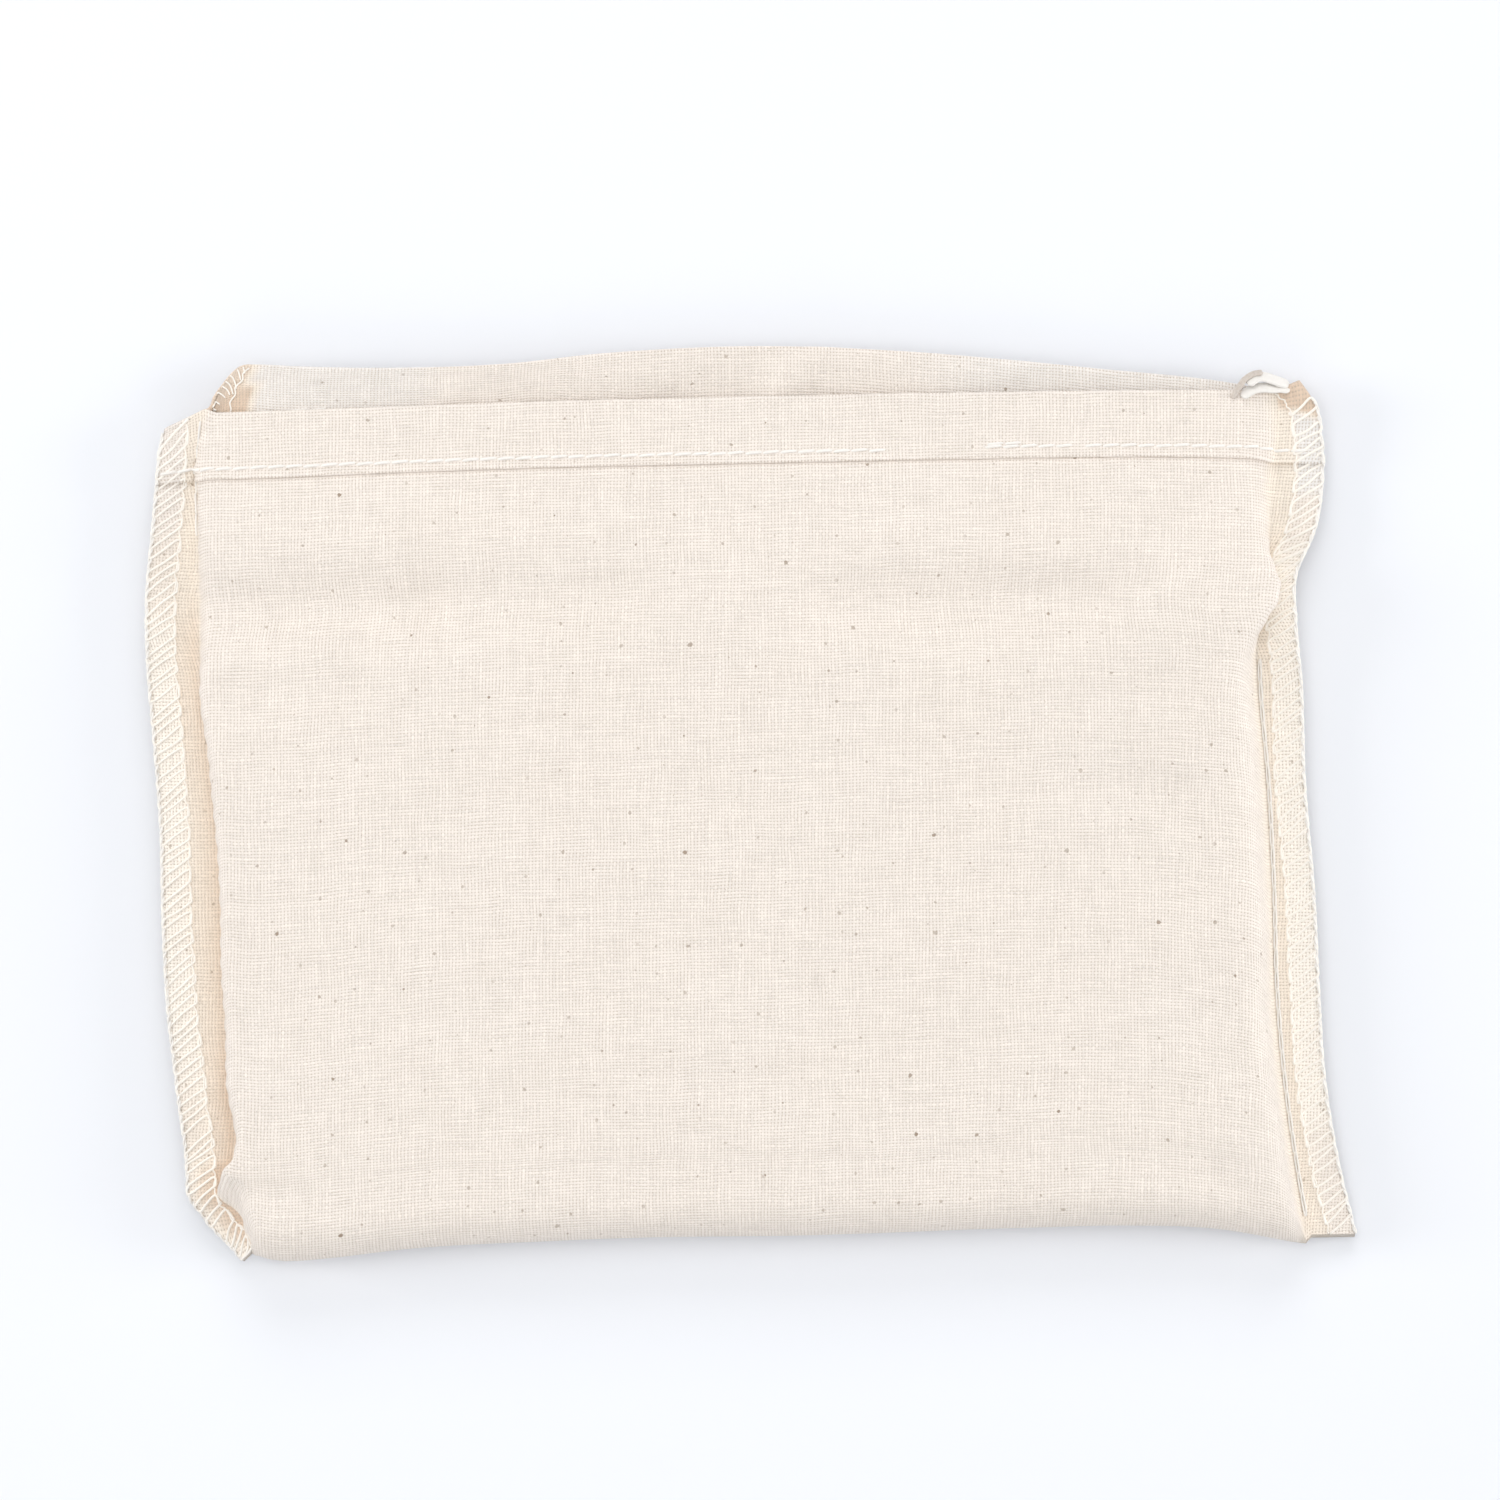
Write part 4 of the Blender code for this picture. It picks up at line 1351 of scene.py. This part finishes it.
def pocket_paths(cloth, radius, chance):
    """The overlock's legs and needle line across the back's corner, beyond the front's mouth."""
    rows = cloth.back
    normals = grid_normals(rows, FRONT)
    height = cloth.thickness / 2 + radius * 0.6
    first, last = ALLOWANCE_STEPS + 0.3, ALLOWANCE_STEPS + SIDE_STEPS - 0.6
    paths = []
    for start in np.linspace(first, last - 1.5, POCKET_LEGS):
        start += chance.uniform(-0.3, 0.3)
        columns = np.linspace(start, min(start + POCKET_REACH, last), 8)
        down = np.linspace(0.1, 0.1 + POCKET_FALL * (columns[-1] - start), 8)
        paths.append(smooth_path(on_layer(rows, normals, down, columns, height), 3))
    down = np.linspace(0.3, 8.5, 14)
    columns = last + 0.5 * np.cos(down * 2.4)
    paths.append(smooth_path(on_layer(rows, normals, down, columns, height), 3))
    return paths


def tail_paths(places, radius, threads, spread):
    """The overlock's tail of chained thread, left long at the mouth."""
    line = smooth_path(places, 16)
    turn = np.linspace(0.0, TAIL_TURNS * 2 * math.pi, len(line))
    paths = []
    for phase in np.linspace(0.0, 2 * math.pi, threads, endpoint=False):
        angle = turn + phase
        offset = np.stack([np.cos(angle), np.sin(angle), np.cos(angle + 1.6)], axis=-1)
        paths.append(line + offset * radius * spread)
    return paths


def overlock_paths(course, width, pitch, slant, radius, chance, bare):
    """A looper thread's zigzag from the needle line to the raw edge, and round that edge, as far
    as a bare stretch before the mouth."""
    count = int((course.length - bare) / pitch) + 1
    corners = []
    for number in range(count):
        start = number * pitch + chance.uniform(-0.1, 0.1) * pitch
        lean = slant * chance.uniform(0.8, 1.2)
        reach = width + chance.uniform(-0.15, 0.15)
        rise = radius * chance.uniform(-0.5, 0.2)
        half = pitch * chance.uniform(0.4, 0.6)
        bend = chance.uniform(-0.22, 0.22)
        corners += [
            (start, reach, rise),
            (start + lean * 0.5 + bend, reach * 0.5, rise),
            (start + lean * 0.95, WRAP_START, rise),
            (start + lean + half * 0.25, WRAP_OUT, WRAP_DOWN),
            (start + lean + half * 0.75, WRAP_OUT, WRAP_DOWN),
            (start + lean + half * 1.05, WRAP_START, rise),
            (start + lean * 0.5 + half - bend, reach * 0.5, rise),
            (start + half, reach, rise),
            (start + half + pitch * 0.15, reach + 0.2, rise + radius * 0.4),
        ]
    distance, aside, height = np.array(corners).T
    distance = np.clip(distance, 0.05, course.length - 0.05)
    return [smooth_path(course.at(distance, aside, height), 4)]


def edge_cord(course, pitch, radius, chance, bare):
    """The loops that lock along the raw edge, as two threads round one another."""
    distance = np.arange(0.1, course.length - bare - 0.1, pitch / 10)
    paths = []
    for phase in (0.0, math.pi):
        turn = 2 * math.pi * distance / pitch + phase + 0.5 * chance.standard_normal()
        jitter = CORD_CHANCE * chance.standard_normal((2, len(distance)))
        aside = CORD_OUT + radius * np.sin(turn) + jitter[0]
        height = CORD_DOWN + radius * np.cos(turn) + jitter[1]
        paths.append(smooth_path(course.at(distance, aside, height), 2))
    return paths


def sway_path(course, aside, pitch, radius, chance):
    """A needle thread that the loopers pull to and fro at every stitch."""
    distance = np.arange(0.1, course.length - 0.1, pitch / 6)
    phase = 2 * math.pi * distance / pitch
    swing = np.cos(phase) + 0.35 * np.sin(2 * phase) + 0.25 * chance.standard_normal(len(phase))
    height = radius * (0.5 + 0.3 * np.cos(phase))
    return [smooth_path(course.at(distance, aside + SWAY * swing, height), 3)]


def needle_paths(course, aside, pitch, radius, chance, span, gap):
    """A line of straight stitches, each diving into the cloth at both of its ends."""
    share = np.array([0.0, gap, gap + 0.1, 0.5, 0.9 - gap, 1.0 - gap, 1.0])
    low, high = 0.5 * radius, 0.7 * radius
    height = np.array([-STITCH_SINK, 0.0, low, high, low, 0.0, -STITCH_SINK])
    first, last = span
    paths = []
    for number in range(int((last - first) / pitch)):
        distance = first + number * pitch + share * pitch
        lean = chance.uniform(-STITCH_LEAN, STITCH_LEAN)
        wander = aside + np.array(STITCH_SLANT) + lean
        paths.append(smooth_path(course.at(distance, wander, height), 3))
    return paths


def chain_paths(course, pitch, radius, chance, last):
    """A line of chain stitches as far as a distance: long loops, each held by the next."""
    share, aside, rise = np.array(CHAIN_LOOP).T
    paths = []
    for number in range(1, int(last / pitch)):
        start = number * pitch + chance.uniform(-0.1, 0.1)
        paths.append(smooth_path(course.at(start + share * pitch, aside, rise * radius), 3))
    return paths


def overlock_bundles(cloth, side, sewing):
    """One side's overlock: its looper's legs, the cord along the raw edge with the needle line's
    loose thread, and at the right its tail."""
    radius = sewing.thread / MM / 2
    width = sewing.overlock_width / MM
    pitch = sewing.overlock_pitch / MM
    bare = OVERLOCK_BARE[side]
    chance = np.random.default_rng(sewing.seed + side)
    legs = []
    cords = []
    loose = []
    for face in (FRONT, BACK):
        course = EdgeCourse(outer_skin(cloth, face), side)
        slant = OVERLOCK_SLANT[side] * side * face
        legs += overlock_paths(course, width, pitch, slant, radius, chance, bare)
        cords += edge_cord(course, pitch, radius, chance, bare - CORD_PAST_LEGS)
        loose += sway_path(course, width, pitch, radius * 0.6, chance)
    if side == LEFT:
        loose += pocket_paths(cloth, radius, chance)
    else:
        for knot in TAIL_KNOTS:
            cords += tail_paths(knot, radius, threads=11, spread=4.2)
    bundles = [
        (legs, radius * LEG_THICK, LOOPER),
        (cords, radius * CORD_THICK, NEEDLE),
        (loose, radius * LOOSE_THICK, LOOPER),
    ]
    if side == RIGHT:
        # The tail takes the darker finish: painted shade.
        bundles.append((tail_paths(TAIL, radius, threads=5, spread=2.2), radius, CHAINED))
    return bundles


def seam_bundles(cloth, sewing):
    """Both side seams' sewing, with chain loops on one face and straight stitches on the other."""
    radius = sewing.thread / MM / 2
    pitch = sewing.overlock_pitch / MM
    thick = radius * NEEDLE_THICK
    chance = np.random.default_rng(sewing.seed + SEAM_SEED)
    needle = []
    loops = []
    for side in (LEFT, RIGHT):
        for face in (FRONT, BACK):
            width = seam_frame(side, shares_of(FRONT_ROWS if face == FRONT else BACK_ROWS)).width
            course = EdgeCourse(outer_skin(cloth, face), side, width - SEAM_INSIDE_OVERLOCK)
            if side == face:
                last = course.length - CHAIN_SHORT
                if face == FRONT:
                    last = course.distance_to(CHAIN_END_Y)
                loops += chain_paths(course, pitch, radius, chance, last)
            else:
                first = NEEDLE_SHORT
                if face == FRONT:
                    first = course.distance_to(NEEDLE_START_Y)
                span = (first, course.length)
                needle += needle_paths(course, 0.0, pitch, thick, chance, span, SEAM_STITCH_GAP)
    return [(loops, radius, NEEDLE), (needle, thick, NEEDLE)]


def hem_bundles(cloth, sewing):
    """Both hems' lockstitch, on the outside and on the inside of the bag."""
    radius = sewing.hem_thread / MM / 2
    pitch = sewing.hem_pitch / MM
    chance = np.random.default_rng(sewing.seed + HEM_SEED)
    bundles = []
    for hem, inner, face, runs in (
        (cloth.front_hem, cloth.front, FRONT, FRONT_RUNS),
        (cloth.back_hem, cloth.back, BACK, BACK_RUNS),
    ):
        for rows, side in ((hem, face), (inner[::-1], -face)):
            course = HemCourse(rows, side, cloth.stitch_inset[face], cloth.thickness)
            for run in runs:
                span = course.distance_to((run.first, run.last))
                thick = radius * run.thick
                paths = needle_paths(course, -run.aside, pitch, thick, chance, span, HEM_STITCH_GAP)
                bundles.append((paths, thick, NEEDLE))
    return bundles


# ---- Settings ----


def length(name, description, default):
    """A length's setting."""
    return FloatProperty(
        name=name, description=description, default=default, min=0.0, unit="LENGTH", precision=5
    )


def colour(name, description, default):
    """A colour's setting."""
    return FloatVectorProperty(
        name=name, description=description, default=default, size=3, min=0, max=1, subtype="COLOR"
    )


class ClothSettings(PropertyGroup):
    """The cloth's sizes and colours"""

    thickness: length("Thickness", "Thickness of the cloth", 0.00028)
    layer_gap: length("Layer gap", "Gap between two layers that lie together", 0.00002)
    front_hem: length("Front hem", "Depth of the front's hem", 0.0106)
    back_hem: length("Back hem", "Depth of the back's hem", 0.0106)
    hem_tuck: length("Hem tuck", "How far each hem's raw edge is tucked under", 0.0080)
    stitch_margin: length("Stitch margin", "From a hem's fold to its stitching", 0.0016)
    warp_pitch: length("Warp pitch", "From one lengthwise thread to the next", 0.00055)
    weft_pitch: length("Weft pitch", "From one crosswise thread to the next", 0.00052)
    colour: colour("Colour", "The cloth", (0.84, 0.775, 0.72))
    warm_colour: colour("Warm colour", "The cloth's warmer patches", (0.84, 0.765, 0.695))
    # The allowances' painted warm shade, standing for light bounced between their layers.
    allowance_shade_colour: colour("Seam colour", "The cloth of the seam allowances", (0.875, 0.79, 0.69))
    # Painted deep shade in the grooves and the mouth's corners.
    deep_shade_colour: colour("End colour", "The cloth of the seams' ends", (0.70, 0.55, 0.43))
    # Painted cool shade on the back lip and the right overlock's top.
    shaded_colour: colour("Shaded colour", "The cloth at the lip and corner", (0.80, 0.775, 0.75))
    # The overlock's cloth, paler partly from its white thread and partly from painted light.
    thread_cover_and_light_colour: colour("Sewn colour", "The cloth among the overlock", (0.965, 0.91, 0.83))
    gap_colour: colour("Gap colour", "Between the threads", (0.52, 0.43, 0.34))
    fleck_colour: colour("Fleck colour", "Bits of seed in the cloth", (0.30, 0.22, 0.15))


class SewingSettings(PropertyGroup):
    """The threads' sizes and colours"""

    thread: length("Thread", "Diameter of the sewing thread", 0.00034)
    overlock_pitch: length("Overlock pitch", "From one overlock loop to the next", 0.0034)
    overlock_width: length("Overlock width", "From the raw edge to the needle line", 0.0044)
    hem_pitch: length("Hem pitch", "Length of the hems' stitches", 0.0029)
    seed: IntProperty(name="Seed", description="Varies the threads", default=7, min=0)
    hem_thread: length("Hem thread", "Diameter of the hems' thread", 0.00052)
    needle_colour: colour("Needle colour", "The needle thread", (0.885, 0.86, 0.825))
    needle_shade: colour("Needle shade", "Its darker fibres", (0.83, 0.80, 0.755))
    hem_colour: colour("Hem thread colour", "The hems' thread", (0.93, 0.90, 0.865))
    hem_shade: colour("Hem thread shade", "Its darker fibres", (0.88, 0.845, 0.80))
    looper_colour: colour("Looper colour", "The looper thread", (0.95, 0.905, 0.835))
    looper_shade: colour("Looper shade", "Its darker fibres", (0.93, 0.88, 0.81))
    # The tail is the overlock's own thread, darkened here as painted shade.
    shaded_tail_colour: colour("Tail colour", "The chained thread left at the mouth", (0.72, 0.67, 0.62))
    shaded_tail_fibres: colour("Tail shade", "Its darker fibres", (0.50, 0.42, 0.35))


class StageSettings(PropertyGroup):
    """The camera, the floor and the room's light"""

    camera_height: length("Camera height", "Height of the camera above the floor", 0.9)
    frame_width: length("Frame width", "Width of the view at the bag", 0.246)
    floor_colour: colour("Floor colour", "The floor", (0.851, 0.869, 0.909))
    sky_colour: colour("Sky colour", "The room's own light", (0.97, 0.985, 1.0))
    sky_strength: FloatProperty(
        name="Sky strength", description="Strength of the room's own light", default=0.55, min=0
    )


# ---- Operators ----


def finish_piece(item, slot, *nodes):
    """Lets a piece ride with the bag, and hides the solids it replaces."""
    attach(item, "root")
    if nodes:
        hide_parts(*nodes)


def lay_floor(colour):
    """A plain floor under the bag."""
    shape = bmesh.new()
    bmesh.ops.create_grid(shape, x_segments=1, y_segments=1, size=FLOOR_REACH)
    floor = add_object("floor", add_mesh("floor", shape))
    material, _, shader = new_material("floor", roughness=0.9, sheen=0.0)
    shader.inputs["Base Color"].default_value = rgba(colour)
    floor.data.materials.append(material)


def light_room(scene, settings):
    """The room's own soft light and its lamps, which all face the bag."""
    world = bpy.data.worlds.new("studio")
    world.use_nodes = True
    sky = world.node_tree.nodes["Background"]
    sky.inputs["Color"].default_value = rgba(settings.sky_colour)
    sky.inputs["Strength"].default_value = settings.sky_strength
    scene.world = world
    for lamp in LAMPS:
        light = bpy.data.lights.new(lamp.name, "AREA")
        light.shape = "RECTANGLE"
        light.size = lamp.width
        light.size_y = lamp.height
        light.energy = lamp.power
        light.color = LAMP_COLOUR
        item = add_object(lamp.name, light)
        item.location = (lamp.x, lamp.y, lamp.z)
        item.rotation_euler = (-item.location).to_track_quat("-Z", "Y").to_euler()


def place_camera(scene, settings):
    """A camera straight above the bag, whose view has the set width at the bag's top."""
    lens = bpy.data.cameras.new("camera")
    lens.sensor_fit = "HORIZONTAL"
    distance = settings.camera_height - VIEW_HEIGHT
    lens.lens = lens.sensor_width * distance / settings.frame_width
    camera = add_object("camera", lens)
    camera.location = (CAMERA_X, CAMERA_Y, settings.camera_height)
    scene.camera = camera


class BAG_OT_cloth(Operator):
    """Models the bag's one cloth with its folded bottom, its hems and its seam allowances"""

    bl_idname = "cotton_bag.cloth"
    bl_label = "Cloth"

    def execute(self, context):
        settings = context.scene.bag_cloth
        cloth = Cloth(Bag(settings))
        flat = flat_pattern(cloth.rows)
        item = grid_object("calico_cloth", cloth.rows, flat)
        add_values(item, "seam_painted_shade", seam_painted_shade(cloth))
        add_values(item, "thread_cover_and_light", thread_cover_and_light(cloth))
        thickness = item.modifiers.new("thickness", "SOLIDIFY")
        thickness.thickness = settings.thickness
        thickness.offset = 0.0
        thickness.use_even_offset = False
        item.data.materials.append(calico(settings))
        item.data.shade_smooth()
        finish_piece(item, "cotton_cloth", "bag_cloth")
        return {"FINISHED"}


class BAG_OT_overlock(Operator):
    """Sews over both sides' raw edges"""

    bl_idname = "cotton_bag.overlock"
    bl_label = "Overlocked edges"

    def execute(self, context):
        sewing = context.scene.bag_sewing
        cloth = Cloth(Bag(context.scene.bag_cloth))
        finishes = [
            cotton_thread("needle_thread", sewing.needle_colour, sewing.needle_shade),
            cotton_thread("looper_thread", sewing.looper_colour, sewing.looper_shade),
            # The tail's finish is darker: painted shade.
            cotton_thread("shaded_tail_thread", sewing.shaded_tail_colour, sewing.shaded_tail_fibres),
        ]
        for side, name in ((LEFT, "left"), (RIGHT, "right")):
            bundles = overlock_bundles(cloth, side, sewing)
            item = thread_object(f"overlock_{name}", bundles, finishes)
            finish_piece(item, "sewing_thread", f"bound_edge_{name}")
        return {"FINISHED"}


class BAG_OT_seams(Operator):
    """Sews both side seams in chain stitch"""

    bl_idname = "cotton_bag.seams"
    bl_label = "Side seams"

    def execute(self, context):
        finish = bpy.data.materials.get("needle_thread")
        if finish is None:
            raise RuntimeError("The side seams use the needle thread of the overlocked edges")
        cloth = Cloth(Bag(context.scene.bag_cloth))
        bundles = seam_bundles(cloth, context.scene.bag_sewing)
        finish_piece(thread_object("seam_stitches", bundles, [finish]), "sewing_thread")
        return {"FINISHED"}


class BAG_OT_hems(Operator):
    """Sews both hems in lockstitch"""

    bl_idname = "cotton_bag.hems"
    bl_label = "Hem stitches"

    def execute(self, context):
        sewing = context.scene.bag_sewing
        cloth = Cloth(Bag(context.scene.bag_cloth))
        finish = cotton_thread("hem_thread", sewing.hem_colour, sewing.hem_shade)
        item = thread_object("hem_stitches", hem_bundles(cloth, sewing), [finish])
        finish_piece(item, "sewing_thread")
        return {"FINISHED"}


class BAG_OT_stage(Operator):
    """Sets the floor, the lights and the camera"""

    bl_idname = "cotton_bag.stage"
    bl_label = "Stage"

    def execute(self, context):
        scene = context.scene
        settings = scene.bag_stage
        lay_floor(settings.floor_colour)
        light_room(scene, settings)
        place_camera(scene, settings)
        scene.view_settings.view_transform = "Standard"
        return {"FINISHED"}


class BAG_PT_panel(Panel):
    """Cotton bag settings and steps"""

    bl_idname = "BAG_PT_panel"
    bl_label = "Cotton Bag"
    bl_space_type = "VIEW_3D"
    bl_region_type = "UI"
    bl_category = "Cotton Bag"

    def draw(self, context):
        scene = context.scene
        for group in (scene.bag_cloth, scene.bag_sewing, scene.bag_stage):
            box = self.layout.box()
            for label in group.__annotations__:
                box.prop(group, label)
        for step in STEPS:
            self.layout.operator(step.bl_idname)


SETTINGS = {
    "bag_cloth": ClothSettings,
    "bag_sewing": SewingSettings,
    "bag_stage": StageSettings,
}
STEPS = (BAG_OT_cloth, BAG_OT_overlock, BAG_OT_seams, BAG_OT_hems, BAG_OT_stage)
CLASSES = (*SETTINGS.values(), *STEPS, BAG_PT_panel)


def register():
    """Adds the settings, the operators and the panel."""
    for each in CLASSES:
        bpy.utils.register_class(each)
    for name, group in SETTINGS.items():
        setattr(bpy.types.Scene, name, PointerProperty(type=group))


def unregister():
    """Takes them away again."""
    for name in SETTINGS:
        delattr(bpy.types.Scene, name)
    for each in reversed(CLASSES):
        bpy.utils.unregister_class(each)


def main():
    """Builds the bag and its stage with every step in turn."""
    register()
    for step in STEPS:
        group, name = step.bl_idname.split(".")
        getattr(getattr(bpy.ops, group), name)()


if __name__ == "__main__":
    main()
